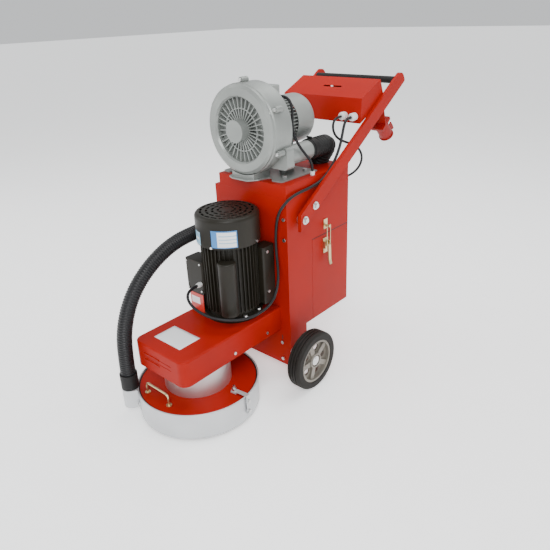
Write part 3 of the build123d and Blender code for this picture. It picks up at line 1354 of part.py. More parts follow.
NODES = {
    "dust_skirt": dust_skirt,
    "seals": lambda: [skirt_seal(), bin_gasket()],
    "cover_disc": cover_disc,
    "cover_handle": cover_handle,
    "skirt_clamps": skirt_clamps,
    "suction_port": suction_port,
    "hose_fittings": lambda: [port_cuff(), hose_collar(), hose_clamp()],
    "suction_hose": lambda: cord("suction_hose", HOSE_ROUTE, HOSE_D),
    "spindle_housing": spindle_housing,
    "bearings": bearings,
    "spindle_shaft": spindle_shaft,
    "grinding_disc": grinding_disc,
    "diamond_shoes": diamond_shoes,
    "driven_pulley": driven_pulley,
    "drive_belts": drive_belts,
    "belt_housing": belt_housing,
    "housing_floor": housing_floor,
    "fasteners": fasteners,
    "motor_frame": lambda: [motor_frame()] + motor_end_shields(),
    "stator_core": stator_core,
    "electrical_parts": electrical_parts,
    "rotor": rotor,
    "drive_pulley": drive_pulley,
    "cooling_fan": cooling_fan,
    "motor_fan_cowl": motor_fan_cowl,
    "motor_boxes": motor_boxes,
    "cabinet_panels": lambda: [cabinet_front(), cabinet_side(1), cabinet_side(-1), cabinet_rear()],
    "cabinet_decks": lambda: [cabinet_leg(), cabinet_top(), separator_plate()],
    "dust_bin": dust_bin,
    "filter_cartridge": filter_cartridge,
    "blower_tray": blower_tray,
    "axle_set": axle_set,
    "wheel_rim_right": wheel_rim,
    "wheel_rim_left": lambda: mirrored(wheel_rim()),
    "tyre_right": wheel_tyre,
    "tyre_left": lambda: mirrored(wheel_tyre()),
    "handle_bars": lambda: [handle_bar(1), handle_bar(-1)],
    "handle_grip": handle_grip,
    "control_box": control_box,
    "cable_glands": cable_glands,
    "start_button": lambda: push_button("start_button"),
    "stop_button": lambda: push_button("stop_button"),
    "power_inlet": lambda: [power_inlet(), inlet_bracket()],
    "inlet_cap": inlet_cap,
    "latch_bases": latch_bases,
    "latch_lever_right": lambda: latch_lever(1),
    "latch_lever_left": lambda: latch_lever(-1),
    "latch_loop_right": lambda: latch_loop(1),
    "latch_loop_left": lambda: latch_loop(-1),
    "blower_cover": blower_cover,
    "blower_casing": blower_casing,
    "blower_foot": blower_foot,
    "silencer_tubes": silencer_tubes,
    "blower_motor": blower_motor,
    "blower_rotor": blower_rotor,
    "blower_fan_cover": blower_fan_cover,
    "suction_elbow": suction_elbow,
    "motor_cable": lambda: cord("motor_cable", MOTOR_CABLE_ROUTE, MOTOR_CABLE_D),
    "supply_cable": lambda: cord("supply_cable", SUPPLY_CABLE_ROUTE, SUPPLY_CABLE_D),
    "blower_cable": lambda: cord("blower_cable", BLOWER_CABLE_ROUTE, BLOWER_CABLE_D),
}
CORDS = ("suction_hose", "motor_cable", "supply_cable", "blower_cable")


def solids_of(made):
    """Every solid of a node, whether it was made as one shape or as a list."""
    pieces = made if isinstance(made, list) else [made]
    return [solid for piece in pieces for solid in piece.solids()]


def main():
    made = {name: Compound(solids_of(make())) for name, make in NODES.items()}
    rigid = [shape.bounding_box() for name, shape in made.items() if name not in CORDS]
    front = min(box.min.Y for box in rigid)
    rear = max(box.max.Y for box in rigid)
    middle = (front + rear) / 2
    print("middle of the machine in Y:", round(middle, 4))
    for name, shape in made.items():
        export_step(Pos(0, -middle, 0) * shape, f"parts/{name}.step")


if __name__ == "__main__":
    main()
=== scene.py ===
"""Looks of a walk-behind concrete grinder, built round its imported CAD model.

The CAD nodes stay where they are and get their finishes here. The cords, the rubber elbow, the
labels and the pressed details are made in this file. Everything is in metres.
"""

import math

import bmesh
import bpy
from bpy.props import FloatProperty, FloatVectorProperty, PointerProperty
from mathutils import Matrix, Vector


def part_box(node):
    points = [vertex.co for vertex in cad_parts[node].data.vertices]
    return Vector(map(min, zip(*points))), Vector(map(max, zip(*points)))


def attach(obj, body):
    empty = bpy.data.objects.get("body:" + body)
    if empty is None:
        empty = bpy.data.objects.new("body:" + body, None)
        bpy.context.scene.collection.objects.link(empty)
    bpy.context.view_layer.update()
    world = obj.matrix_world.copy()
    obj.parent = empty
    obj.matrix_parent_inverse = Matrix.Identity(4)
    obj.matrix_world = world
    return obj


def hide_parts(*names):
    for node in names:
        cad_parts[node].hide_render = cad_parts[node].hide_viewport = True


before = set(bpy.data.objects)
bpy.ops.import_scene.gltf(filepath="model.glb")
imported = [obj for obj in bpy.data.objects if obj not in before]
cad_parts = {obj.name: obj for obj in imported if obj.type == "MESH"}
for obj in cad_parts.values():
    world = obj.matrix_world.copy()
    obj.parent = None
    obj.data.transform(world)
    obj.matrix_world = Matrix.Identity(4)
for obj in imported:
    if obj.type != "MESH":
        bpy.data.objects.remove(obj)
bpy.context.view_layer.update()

bl_info = {
    "name": "Concrete Grinder",
    "version": (1, 0, 0),
    "blender": (4, 5, 0),
    "location": "View3D > Sidebar > Grinder",
    "description": "Finishes, cords, labels and studio for a concrete grinder",
    "category": "Object",
}

SPINDLE_Y = -0.3574146
MOTOR_Y = SPINDLE_Y + 0.178
COWL_RADIUS = 0.0995
FILM_GAP = 0.0003
FILM_THICK = 0.0003
FLOOR_HALF = 30.0

CAMERA_PLACE = (1.1884, -1.2770, 1.1566)
CAMERA_AZIMUTH = 0.722284525
CAMERA_PITCH = 0.425643630
CAMERA_ROLL = -0.0363903281
CAMERA_SHIFT = (-0.0142, -0.0248)
LIGHTS_AIM = (0.0, 0.0, 0.45)

SUCTION_HOSE = [
    (-0.1246, -0.5289, 0.1220),
    (-0.1246, -0.5289, 0.2150),
    (-0.1250, -0.5154, 0.3100),
    (-0.1260, -0.4694, 0.4000),
    (-0.1280, -0.3924, 0.4650),
    (-0.1300, -0.2974, 0.5050),
    (-0.1260, -0.1924, 0.5150),
    (-0.1260, -0.0984, 0.5150),
]
MOTOR_CABLE = [
    (-0.0520, -0.2814, 0.3720),
    (-0.0520, -0.3114, 0.3720),
    (-0.0400, -0.3374, 0.3590),
    (-0.0080, -0.3454, 0.3380),
    (0.0420, -0.3334, 0.3170),
    (0.0880, -0.3034, 0.3050),
    (0.1240, -0.2574, 0.3000),
    (0.1410, -0.1994, 0.3030),
    (0.1420, -0.1454, 0.3180),
    (0.1340, -0.1074, 0.3560),
    (0.1230, -0.0914, 0.4100),
    (0.1130, -0.0874, 0.4750),
    (0.1180, -0.0894, 0.5450),
    (0.1340, -0.0934, 0.5960),
    (0.1540, -0.0924, 0.6240),
    (0.1630, -0.0734, 0.6430),
    (0.1620, -0.0314, 0.6500),
    (0.1600, 0.0346, 0.6510),
    (0.1600, 0.0946, 0.6600),
    (0.1600, 0.1486, 0.6940),
    (0.1580, 0.1886, 0.7420),
    (0.1550, 0.2066, 0.7760),
    (0.1500, 0.2226, 0.8040),
    (0.1450, 0.2406, 0.8220),
    (0.1430, 0.2576, 0.8260),
    (0.1430, 0.2735, 0.8260),
]
SUPPLY_CABLE = [
    (0.1030, 0.2735, 0.8260),
    (0.1030, 0.2426, 0.8260),
    (0.1060, 0.2226, 0.8060),
    (0.1120, 0.2226, 0.7780),
    (0.1220, 0.2406, 0.7560),
    (0.1360, 0.2726, 0.7420),
    (0.1480, 0.3066, 0.7260),
    (0.1540, 0.3266, 0.6980),
    (0.1530, 0.3306, 0.6720),
    (0.1460, 0.3226, 0.6480),
    (0.1360, 0.3066, 0.6320),
    (0.1270, 0.2876, 0.6240),
    (0.1270, 0.2646, 0.6240),
]
BLOWER_CABLE = [
    (0.0620, 0.0146, 0.9220),
    (0.0820, 0.0146, 0.9220),
    (0.1000, 0.0136, 0.9140),
    (0.1100, 0.0126, 0.8950),
    (0.1110, 0.0126, 0.8680),
    (0.1090, 0.0126, 0.8380),
    (0.1150, 0.0156, 0.8050),
    (0.1260, 0.0246, 0.7770),
    (0.1360, 0.0386, 0.7520),
    (0.1400, 0.0556, 0.7330),
    (0.1410, 0.0676, 0.7120),
    (0.1410, 0.0676, 0.6920),
]
ELBOW_LINE = [
    (0.096, 0.0996, 0.748),
    (0.096, 0.1316, 0.748),
    (0.096, 0.1640, 0.748),
    (0.096, 0.2030, 0.748),
    (0.084, 0.2096, 0.727),
    (0.067, 0.2096, 0.703),
    (0.052, 0.2096, 0.680),
]


# ---------------------------------------------------------------- sizes and colours

class GrinderColours(bpy.types.PropertyGroup):
    """Colours of the main finishes"""

    enamel: FloatVectorProperty(
        name="Enamel", description="Red enamel of the housing, cabinet and handle",
        subtype="COLOR", size=3, min=0, max=1, default=(0.33, 0.0065, 0.0012))
    motor: FloatVectorProperty(
        name="Motor paint", description="Dark paint of the drive motor",
        subtype="COLOR", size=3, min=0, max=1, default=(0.012, 0.010, 0.006))
    blower: FloatVectorProperty(
        name="Blower paint", description="Grey paint of the cast blower",
        subtype="COLOR", size=3, min=0, max=1, default=(0.27, 0.285, 0.27))
    label: FloatVectorProperty(
        name="Label", description="Ground colour of the blank labels",
        subtype="COLOR", size=3, min=0, max=1, default=(0.80, 0.81, 0.82))
    label_stripe: FloatVectorProperty(
        name="Label stripe", description="Stripe down the side of the motor's label",
        subtype="COLOR", size=3, min=0, max=1, default=(0.05, 0.22, 0.52))


class GrinderHose(bpy.types.PropertyGroup):
    """Sizes of the corrugated suction hose and the rubber elbow"""

    diameter: FloatProperty(
        name="Hose diameter", description="Outside diameter over the ribs",
        unit="LENGTH", min=0.03, max=0.06, default=0.047)
    pitch: FloatProperty(
        name="Rib pitch", description="Distance from one rib of the hose to the next",
        unit="LENGTH", min=0.004, max=0.02, default=0.0078)
    rib: FloatProperty(
        name="Rib height", description="How far each rib stands above the groove beside it",
        unit="LENGTH", min=0.0005, max=0.004, default=0.0022)
    elbow_radius: FloatProperty(
        name="Elbow radius", description="Outside radius of the rubber elbow",
        unit="LENGTH", min=0.02, max=0.05, default=0.033)
    elbow_pitch: FloatProperty(
        name="Elbow fold pitch", description="Distance from one fold of the elbow to the next",
        unit="LENGTH", min=0.006, max=0.03, default=0.0125)


class GrinderCables(bpy.types.PropertyGroup):
    """Diameters of the electric cables"""

    motor: FloatProperty(
        name="Motor cable", description="Diameter of the cable to the drive motor",
        unit="LENGTH", min=0.004, max=0.02, default=0.009)
    supply: FloatProperty(
        name="Supply cable", description="Diameter of the cable into the cabinet",
        unit="LENGTH", min=0.004, max=0.02, default=0.008)
    blower: FloatProperty(
        name="Blower cable", description="Diameter of the cable to the blower",
        unit="LENGTH", min=0.004, max=0.02, default=0.008)


class GrinderStudio(bpy.types.PropertyGroup):
    """Camera, lights and floor"""

    lens: FloatProperty(
        name="Lens", description="Focal length of the camera, in millimetres",
        min=20, max=120, default=36.33)
    light: FloatProperty(
        name="Light", description="Strength of the studio lights, as a share of the usual",
        min=0, max=4, default=1.0)
    floor: FloatVectorProperty(
        name="Floor colour", description="Colour of the pale floor",
        subtype="COLOR", size=3, min=0, max=1, default=(0.97, 0.97, 0.97))


# ---------------------------------------------------------------- shader groups and finishes

def new_group(name, inputs, outputs):
    """An empty shader group with these named sockets, and its input and output nodes."""
    tree = bpy.data.node_groups.new(name, "ShaderNodeTree")
    for label, value in inputs:
        socket = tree.interface.new_socket(label, in_out="INPUT", socket_type="NodeSocketFloat")
        socket.default_value = value
    for label, kind in outputs:
        tree.interface.new_socket(label, in_out="OUTPUT", socket_type=kind)
    return tree, tree.nodes.new("NodeGroupInput"), tree.nodes.new("NodeGroupOutput")


def noise(tree, place, scale, detail=3.0):
    """A noise texture at one scale, or at a linked scale."""
    node = tree.nodes.new("ShaderNodeTexNoise")
    node.inputs["Detail"].default_value = detail
    tree.links.new(place, node.inputs["Vector"])
    if isinstance(scale, (int, float)):
        node.inputs["Scale"].default_value = scale
    else:
        tree.links.new(scale, node.inputs["Scale"])
    return node.outputs["Fac"]


def maths(tree, operation, first, second):
    """A math node on two values or links."""
    node = tree.nodes.new("ShaderNodeMath")
    node.operation = operation
    for socket, value in zip(node.inputs, (first, second)):
        if isinstance(value, (int, float)):
            socket.default_value = value
        else:
            tree.links.new(value, socket)
    return node.outputs[0]


def ramp(tree, value, low, high, to_low=0.0, to_high=1.0):
    """The value spread from low..high to to_low..to_high, and held at the ends."""
    node = tree.nodes.new("ShaderNodeMapRange")
    node.clamp = True
    for name, number in (("From Min", low), ("From Max", high), ("To Min", to_low), ("To Max", to_high)):
        if isinstance(number, (int, float)):
            node.inputs[name].default_value = number
        else:
            tree.links.new(number, node.inputs[name])
    tree.links.new(value, node.inputs["Value"])
    return node.outputs["Result"]


def surface_grain():
    """Grain height, slow colour shade and smudge mask, all in object space."""
    tree, inlet, outlet = new_group(
        "Surface grain", [("Grain scale", 600.0), ("Patch scale", 9.0)],
        [("Height", "NodeSocketFloat"), ("Shade", "NodeSocketFloat"), ("Smudge", "NodeSocketFloat")])
    place = tree.nodes.new("ShaderNodeTexCoord").outputs["Object"]
    fine = noise(tree, place, inlet.outputs["Grain scale"], 4.0)
    slow = noise(tree, place, inlet.outputs["Patch scale"], 2.0)
    smear = noise(tree, place, 9.0, 3.0)
    tree.links.new(fine, outlet.inputs["Height"])
    tree.links.new(ramp(tree, slow, 0.3, 0.7), outlet.inputs["Shade"])
    tree.links.new(ramp(tree, smear, 0.30, 0.75), outlet.inputs["Smudge"])
    return tree


def edge_wear_and_highlight():
    """Broken bright line along the sharp edges, partly worn edges and partly a painted highlight, and a
    softened normal across them.
    """
    tree, inlet, outlet = new_group(
        "Edge wear", [("Edge width", 0.0012), ("Broken", 0.55)],
        [("Mask", "NodeSocketFloat"), ("Normal", "NodeSocketVector")])
    soft = tree.nodes.new("ShaderNodeBevel")
    soft.samples = 4
    tree.links.new(inlet.outputs["Edge width"], soft.inputs["Radius"])
    flat = tree.nodes.new("ShaderNodeNewGeometry")
    turn = tree.nodes.new("ShaderNodeVectorMath")
    turn.operation = "DOT_PRODUCT"
    tree.links.new(soft.outputs["Normal"], turn.inputs[0])
    tree.links.new(flat.outputs["Normal"], turn.inputs[1])
    edge = ramp(tree, turn.outputs["Value"], 0.965, 0.86)
    place = tree.nodes.new("ShaderNodeTexCoord").outputs["Object"]
    breaks = ramp(tree, noise(tree, place, 75.0, 6.0), inlet.outputs["Broken"], 0.85)
    tree.links.new(maths(tree, "MULTIPLY", edge, breaks), outlet.inputs["Mask"])
    tree.links.new(soft.outputs["Normal"], outlet.inputs["Normal"])
    return tree


def settled_dust():
    """Fine dust on faces that look up, thicker towards the floor."""
    tree, inlet, outlet = new_group(
        "Settled dust", [("Amount", 0.1)], [("Mask", "NodeSocketFloat")])
    shape = tree.nodes.new("ShaderNodeNewGeometry")
    split = tree.nodes.new("ShaderNodeSeparateXYZ")
    tree.links.new(shape.outputs["Normal"], split.inputs[0])
    up = ramp(tree, split.outputs["Z"], 0.2, 1.0, 0.25, 1.0)
    place = tree.nodes.new("ShaderNodeTexCoord").outputs["Object"]
    height = tree.nodes.new("ShaderNodeSeparateXYZ")
    tree.links.new(place, height.inputs[0])
    low = ramp(tree, height.outputs["Z"], 0.0, 0.35, 1.0, 0.35)
    cloud = ramp(tree, noise(tree, place, 22.0, 7.0), 0.35, 0.75)
    mask = maths(tree, "MULTIPLY", maths(tree, "MULTIPLY", up, low), cloud)
    tree.links.new(maths(tree, "MULTIPLY", mask, inlet.outputs["Amount"]), outlet.inputs["Mask"])
    return tree


GROUPS = {}


def group_node(tree, name, maker, **values):
    """The named group placed in a material with this material's own values."""
    if name not in GROUPS:
        GROUPS[name] = maker()
    node = tree.nodes.new("ShaderNodeGroup")
    node.node_tree = GROUPS[name]
    for label, value in values.items():
        node.inputs[label.replace("_", " ")].default_value = value
    return node


def blended(tree, amount, first, second):
    """Colour mix of two colours or links by a linked amount."""
    node = tree.nodes.new("ShaderNodeMix")
    node.data_type = "RGBA"
    tree.links.new(amount, node.inputs[0])
    for socket, value in ((node.inputs[6], first), (node.inputs[7], second)):
        if isinstance(value, (tuple, list)):
            socket.default_value = (*value, 1.0)
        else:
            tree.links.new(value, socket)
    return node.outputs[2]


def finish(name, colour, rough, metallic=0.0, coat=0.0, grain=600.0, bump=0.08, depth=0.0002,
           vary=0.12, edge_line_colour=None, dust=0.08, edge=0.0012, lines=None, shine=0.4):
    """One material: colour that drifts, smudged gloss, fine grain, soft edges, a lighter line along the
    edges that is partly worn and partly a painted highlight, and dust.
    edge_line_colour is the colour of that line: worn through to steel on the cast iron, a painted highlight
    on the red enamel, and lighter on the other finishes. lines is (axis, scale, strength) for turning
    lines.
    depth is how high the grain stands, and shine how strongly the surface reflects."""
    colour = tuple(colour)
    material = bpy.data.materials.new(name)
    material.use_nodes = True
    tree = material.node_tree
    shader = tree.nodes["Principled BSDF"]
    shader.inputs["Metallic"].default_value = metallic
    shader.inputs["Specular IOR Level"].default_value = shine
    shader.inputs["Coat Weight"].default_value = coat
    shader.inputs["Coat Roughness"].default_value = 0.18
    skin = group_node(tree, "Surface grain", surface_grain, Grain_scale=grain)
    wear_and_highlight = group_node(tree, "Edge wear", edge_wear_and_highlight, Edge_width=edge)
    dusty = group_node(tree, "Settled dust", settled_dust, Amount=dust)
    dark = tuple(c * (1 - vary) for c in colour)
    light = tuple(min(1.0, c * (1 + vary)) for c in colour)
    look = blended(tree, skin.outputs["Shade"], dark, light)
    # The edge line is worn through to steel on the cast iron and a painted highlight on the red enamel.
    if edge_line_colour:
        look = blended(tree, wear_and_highlight.outputs["Mask"], look, edge_line_colour)
    look = blended(tree, dusty.outputs["Mask"], look, (0.52, 0.50, 0.47))
    tree.links.new(look, shader.inputs["Base Color"])
    gloss = ramp(tree, skin.outputs["Smudge"], 0.0, 1.0, max(0.05, rough - 0.02),
                 min(1.0, rough + 0.05))
    gloss = maths(tree, "ADD", gloss, maths(tree, "MULTIPLY", dusty.outputs["Mask"], 0.5))
    tree.links.new(gloss, shader.inputs["Roughness"])
    normal = wear_and_highlight.outputs["Normal"]
    height = skin.outputs["Height"]
    if lines:
        axis, scale, strength = lines
        wave = tree.nodes.new("ShaderNodeTexWave")
        wave.bands_direction = axis
        wave.inputs["Scale"].default_value = scale
        wave.inputs["Distortion"].default_value = 0.6
        wave.inputs["Detail"].default_value = 2.0
        place = tree.nodes.new("ShaderNodeTexCoord")
        tree.links.new(place.outputs["Object"], wave.inputs["Vector"])
        drawn = tree.nodes.new("ShaderNodeBump")
        drawn.inputs["Strength"].default_value = strength
        drawn.inputs["Distance"].default_value = 0.0003
        tree.links.new(wave.outputs["Fac"], drawn.inputs["Height"])
        tree.links.new(normal, drawn.inputs["Normal"])
        normal = drawn.outputs["Normal"]
    relief = tree.nodes.new("ShaderNodeBump")
    relief.inputs["Strength"].default_value = bump
    relief.inputs["Distance"].default_value = depth
    tree.links.new(height, relief.inputs["Height"])
    tree.links.new(normal, relief.inputs["Normal"])
    tree.links.new(relief.outputs["Normal"], shader.inputs["Normal"])
    return material


def make_finishes(colours):
    """Every finish of the machine, by its name."""
    steel = (0.55, 0.55, 0.55)
    return {
        # The red enamel's edge line is a painted highlight, a brighter red and not metal.
        "red enamel": finish("Red enamel", colours.enamel, 0.42, coat=0.02, grain=420, bump=0.12,
                             edge_line_colour=(0.62, 0.05, 0.02), vary=0.07, dust=0.004, shine=0.12),
        "pressed zinc": finish("Pressed zinc sheet", (0.58, 0.59, 0.60), 0.42, metallic=0.55,
                               grain=260, bump=0.14, edge_line_colour=(0.8, 0.8, 0.8), vary=0.07, dust=0.14),
        "turned aluminium": finish("Turned aluminium", (0.70, 0.70, 0.70), 0.34, metallic=0.9,
                                   grain=500, lines=("Z", 320.0, 0.25), dust=0.04),
        "cast iron": finish("Cast iron", (0.22, 0.22, 0.22), 0.58, metallic=0.8, grain=240,
                            bump=0.5, depth=0.0004, edge_line_colour=steel, vary=0.18, dust=0.12),
        "plated steel": finish("Plated steel", (0.66, 0.66, 0.65), 0.27, metallic=1.0, grain=800,
                               bump=0.06, edge=0.0006, vary=0.08, dust=0.03),
        "yellow plating": finish("Yellow plated steel", (0.62, 0.50, 0.28), 0.32, metallic=1.0,
                                 grain=800, bump=0.06, edge=0.0006, vary=0.18, dust=0.02),
        "socket plastic": finish("Red socket plastic", (0.26, 0.005, 0.002), 0.4, shine=0.25,
                                 grain=800, bump=0.1, edge=0.0006, vary=0.08, dust=0.02),
        "motor paint": finish("Dark motor paint", colours.motor, 0.44, grain=380, bump=0.25,
                              edge_line_colour=(0.10, 0.09, 0.08), vary=0.22, dust=0.01, shine=0.28),
        "cast grey paint": finish("Cast grey paint", colours.blower, 0.36, metallic=0.35,
                                  grain=300, bump=0.34,
                                  depth=0.0003, edge_line_colour=(0.55, 0.55, 0.55), vary=0.12, dust=0.02),
        "wheel paint": finish("Cast wheel metal", (0.24, 0.22, 0.19), 0.46, metallic=0.6, grain=260,
                              bump=0.4, edge_line_colour=(0.45, 0.43, 0.40), vary=0.25, dust=0.06),
        "tyre rubber": finish("Tyre rubber", (0.013, 0.011, 0.009), 0.6, grain=520, bump=0.45,
                              depth=0.0003, vary=0.2, dust=0.03, edge=0.002, shine=0.2),
        "soft rubber": finish("Soft rubber", (0.012, 0.012, 0.012), 0.52, grain=700, bump=0.3,
                              vary=0.2, dust=0.015, shine=0.22),
        "hose plastic": finish("Hose plastic", (0.010, 0.010, 0.011), 0.36, shine=0.3, grain=500, bump=0.15,
                               vary=0.2, dust=0.01, edge=0.0005),
        "cable jacket": finish("Cable jacket", (0.012, 0.012, 0.013), 0.45, shine=0.25, grain=900, bump=0.2,
                               vary=0.2, dust=0.01, edge=0.0005),
        "black plastic": finish("Moulded black plastic", (0.025, 0.025, 0.025), 0.48, grain=950,
                                bump=0.3, vary=0.15, dust=0.04, edge=0.0006),
        "grip foam": finish("Grip rubber", (0.016, 0.016, 0.016), 0.7, shine=0.2, grain=330, bump=0.6,
                            depth=0.0004, vary=0.2, dust=0.03),
        "white plastic": finish("White plastic", (0.74, 0.74, 0.72), 0.38, grain=800, bump=0.08,
                                vary=0.04, dust=0.05, edge=0.0006),
        "green plastic": finish("Green button", (0.015, 0.28, 0.05), 0.28, coat=0.3, grain=700,
                                bump=0.05, dust=0.02, edge=0.0008),
        "red plastic": finish("Red button", (0.62, 0.02, 0.012), 0.28, coat=0.3, grain=700,
                              bump=0.05, dust=0.02, edge=0.0008),
        "filter paper": finish("Pleated filter paper", (0.72, 0.69, 0.61), 0.85, grain=450, bump=0.4,
                               dust=0.2, lines=("X", 90.0, 0.5)),
        "label film": finish("Label film", colours.label, 0.33, coat=0.2, grain=300, bump=0.04,
                             vary=0.03, dust=0.04, edge=0.0003),
        "blue film": finish("Blue label film", colours.label_stripe, 0.33, coat=0.2, grain=300,
                            bump=0.04, vary=0.06, dust=0.04, edge=0.0003),
        "pale blue film": finish("Pale blue film", (0.28, 0.50, 0.66), 0.33, coat=0.2, grain=300,
                                 bump=0.04, vary=0.05, dust=0.04, edge=0.0003),
        "red film": finish("Red label film", (0.60, 0.03, 0.02), 0.33, coat=0.2, grain=300,
                           bump=0.04, vary=0.05, dust=0.04, edge=0.0003),
        "shadow line": finish("Recess shade", (0.035, 0.008, 0.006), 0.6, grain=400, bump=0.1,
                              dust=0.02, edge=0.0004),
    }


NODE_FINISHES = {
    "red enamel": ["cover_disc", "belt_housing", "housing_floor", "cabinet_panels", "cabinet_decks",
                   "dust_bin", "blower_tray", "handle_bars", "control_box"],
    "pressed zinc": ["dust_skirt", "skirt_clamps", "suction_port"],
    "turned aluminium": ["spindle_housing"],
    "cast iron": ["blower_rotor", "grinding_disc", "driven_pulley", "drive_pulley", "diamond_shoes",
                  "stator_core"],
    "plated steel": ["bearings", "spindle_shaft", "fasteners", "rotor", "axle_set"],
    "yellow plating": ["latch_bases", "latch_lever_right", "latch_lever_left", "latch_loop_right",
                       "latch_loop_left", "cover_handle"],
    "motor paint": ["motor_frame", "motor_fan_cowl", "motor_boxes"],
    "cast grey paint": ["blower_cover", "blower_casing", "blower_foot", "silencer_tubes",
                        "blower_motor", "blower_fan_cover"],
    "wheel paint": ["wheel_rim_right", "wheel_rim_left"],
    "tyre rubber": ["tyre_right", "tyre_left"],
    "soft rubber": ["seals", "hose_fittings", "drive_belts"],
    "black plastic": ["cooling_fan", "electrical_parts"],
    "socket plastic": ["power_inlet", "inlet_cap"],
    "grip foam": ["handle_grip"],
    "white plastic": ["cable_glands"],
    "green plastic": ["start_button"],
    "red plastic": ["stop_button"],
    "filter paper": ["filter_cartridge"],
}

FINISHES = {}


def link(item):
    """Puts a new object in the scene."""
    bpy.context.scene.collection.objects.link(item)
    return item


def mesh_piece(name, corners, faces, finishes):
    """A mesh with one or more finishes that rides on the machine's frame."""
    mesh = bpy.data.meshes.new(name)
    mesh.from_pydata([tuple(c) for c in corners], [], faces)
    mesh.validate()
    for each in finishes:
        mesh.materials.append(FINISHES[each])
    for face in mesh.polygons:
        face.use_smooth = True
    item = link(bpy.data.objects.new(name, mesh))
    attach(item, "frame")
    return item


# ---------------------------------------------------------------- cords, hose and elbow

def route_curve(name, points, radius):
    """A smooth line that has this route's points as its control points."""
    data = bpy.data.curves.new(name, "CURVE")
    data.dimensions = "3D"
    data.resolution_u = 16
    data.bevel_depth = radius
    data.bevel_resolution = 6
    spline = data.splines.new("NURBS")
    spline.points.add(len(points) - 1)
    for place, point in zip(spline.points, points):
        place.co = (*point, 1.0)
    spline.order_u = 3
    spline.use_endpoint_u = True
    return link(bpy.data.objects.new(name, data))


def route_line(points, step):
    """Points at an even step along the route's spline, and its length."""
    guide = route_curve("route", points, 0.0)
    bpy.context.view_layer.update()
    mesh = bpy.data.meshes.new_from_object(guide)
    line = [v.co.copy() for v in mesh.vertices]
    bpy.data.objects.remove(guide)
    bpy.data.meshes.remove(mesh)
    lengths = [0.0]
    for first, second in zip(line, line[1:]):
        lengths.append(lengths[-1] + (second - first).length)
    count = max(2, round(lengths[-1] / step))
    even, at = [], 0
    for i in range(count + 1):
        wanted = lengths[-1] * i / count
        while at < len(line) - 2 and lengths[at + 1] < wanted:
            at += 1
        share = (wanted - lengths[at]) / max(lengths[at + 1] - lengths[at], 1e-9)
        even.append(line[at].lerp(line[at + 1], min(1.0, share)))
    return even, lengths[-1]


def swept(line, radius_at, sides=36):
    """Corners and faces of a tube along a line, whose radius depends on the distance along it."""
    corners, faces = [], []
    along = 0.0
    side = None
    for i, point in enumerate(line):
        ahead = line[min(i + 1, len(line) - 1)] - line[max(i - 1, 0)]
        ahead.normalize()
        if side is None:
            side = ahead.orthogonal().normalized()
        side = (side - ahead * side.dot(ahead)).normalized()
        across = ahead.cross(side)
        if i:
            along += (point - line[i - 1]).length
        radius = radius_at(along)
        for j in range(sides):
            turn = 2 * math.pi * j / sides
            corners.append(point + (side * math.cos(turn) + across * math.sin(turn)) * radius)
        if i:
            base = (i - 1) * sides
            for j in range(sides):
                k = (j + 1) % sides
                faces.append((base + j, base + k, base + sides + k, base + sides + j))
    faces.append(tuple(range(sides))[::-1])
    faces.append(tuple(len(corners) - sides + j for j in range(sides)))
    return corners, faces


class GRINDER_OT_cables(bpy.types.Operator):
    """Make the three electric cables on their routes"""

    bl_idname = "grinder.cables"
    bl_label = "Cables"

    def execute(self, context):
        sizes = context.scene.grinder_cables
        for name, points, diameter in (
            ("motor_cable", MOTOR_CABLE, sizes.motor),
            ("supply_cable", SUPPLY_CABLE, sizes.supply),
            ("blower_cable", BLOWER_CABLE, sizes.blower),
        ):
            cable = route_curve(name + "_line", points, diameter / 2)
            cable.data.use_fill_caps = True
            cable.data.materials.append(FINISHES["cable jacket"])
            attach(cable, "frame")
            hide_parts(name)
            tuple(points[0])
        return {"FINISHED"}


class GRINDER_OT_hose(bpy.types.Operator):
    """Make the corrugated suction hose from the skirt's port to the cabinet"""

    bl_idname = "grinder.hose"
    bl_label = "Suction hose"

    def execute(self, context):
        sizes = context.scene.grinder_hose
        line = route_line(SUCTION_HOSE, sizes.pitch / 6)[0]
        top = sizes.diameter / 2

        def radius_at(along):
            wave = 0.5 + 0.5 * math.cos(2 * math.pi * along / sizes.pitch)
            return top - sizes.rib * (1 - wave ** 0.6)

        corners, faces = swept(line, radius_at, 40)
        hose = mesh_piece("suction_hose_ribbed", corners, faces, ["hose plastic"])
        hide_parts("suction_hose")
        return {"FINISHED"}


class GRINDER_OT_elbow(bpy.types.Operator):
    """Make the folded rubber elbow between the right muffler and the tray"""

    bl_idname = "grinder.elbow"
    bl_label = "Rubber elbow"

    def execute(self, context):
        sizes = context.scene.grinder_hose
        line, length = route_line(ELBOW_LINE, sizes.elbow_pitch / 10)
        top = sizes.elbow_radius

        def radius_at(along):
            if along < 0.030 or along > length - 0.012:
                return top
            wave = 0.5 + 0.5 * math.cos(2 * math.pi * (along - 0.030) / sizes.elbow_pitch)
            return top - 0.0042 * (1 - wave ** 0.7)

        corners, faces = swept(line, radius_at, 48)
        elbow = mesh_piece("suction_elbow_folded", corners, faces, ["soft rubber"])
        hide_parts("suction_elbow")
        return {"FINISHED"}


# ---------------------------------------------------------------- labels and pressed details

def film(name, place, columns, rows, finishes, pick):
    """A thin film laid over a surface: place gives its corners, and pick each square's finish."""
    corners = [place(i / columns, j / rows) for j in range(rows + 1) for i in range(columns + 1)]
    faces = []
    kinds = []
    for j in range(rows):
        for i in range(columns):
            a = j * (columns + 1) + i
            faces.append((a, a + 1, a + columns + 2, a + columns + 1))
            kinds.append(pick((i + 0.5) / columns, (j + 0.5) / rows))
    item = mesh_piece(name, corners, faces, finishes)
    for face, kind in zip(item.data.polygons, kinds):
        face.material_index = kind
    solid = item.modifiers.new("thickness", "SOLIDIFY")
    solid.thickness = FILM_THICK
    solid.offset = 1.0
    return item


def flat_film(name, corner, across, up, columns, rows, finishes, pick):
    """A film on a flat face, from one corner along two edges."""
    corner, across, up = Vector(corner), Vector(across), Vector(up)
    return film(name, lambda u, v: corner + across * u + up * v, columns, rows, finishes, pick)


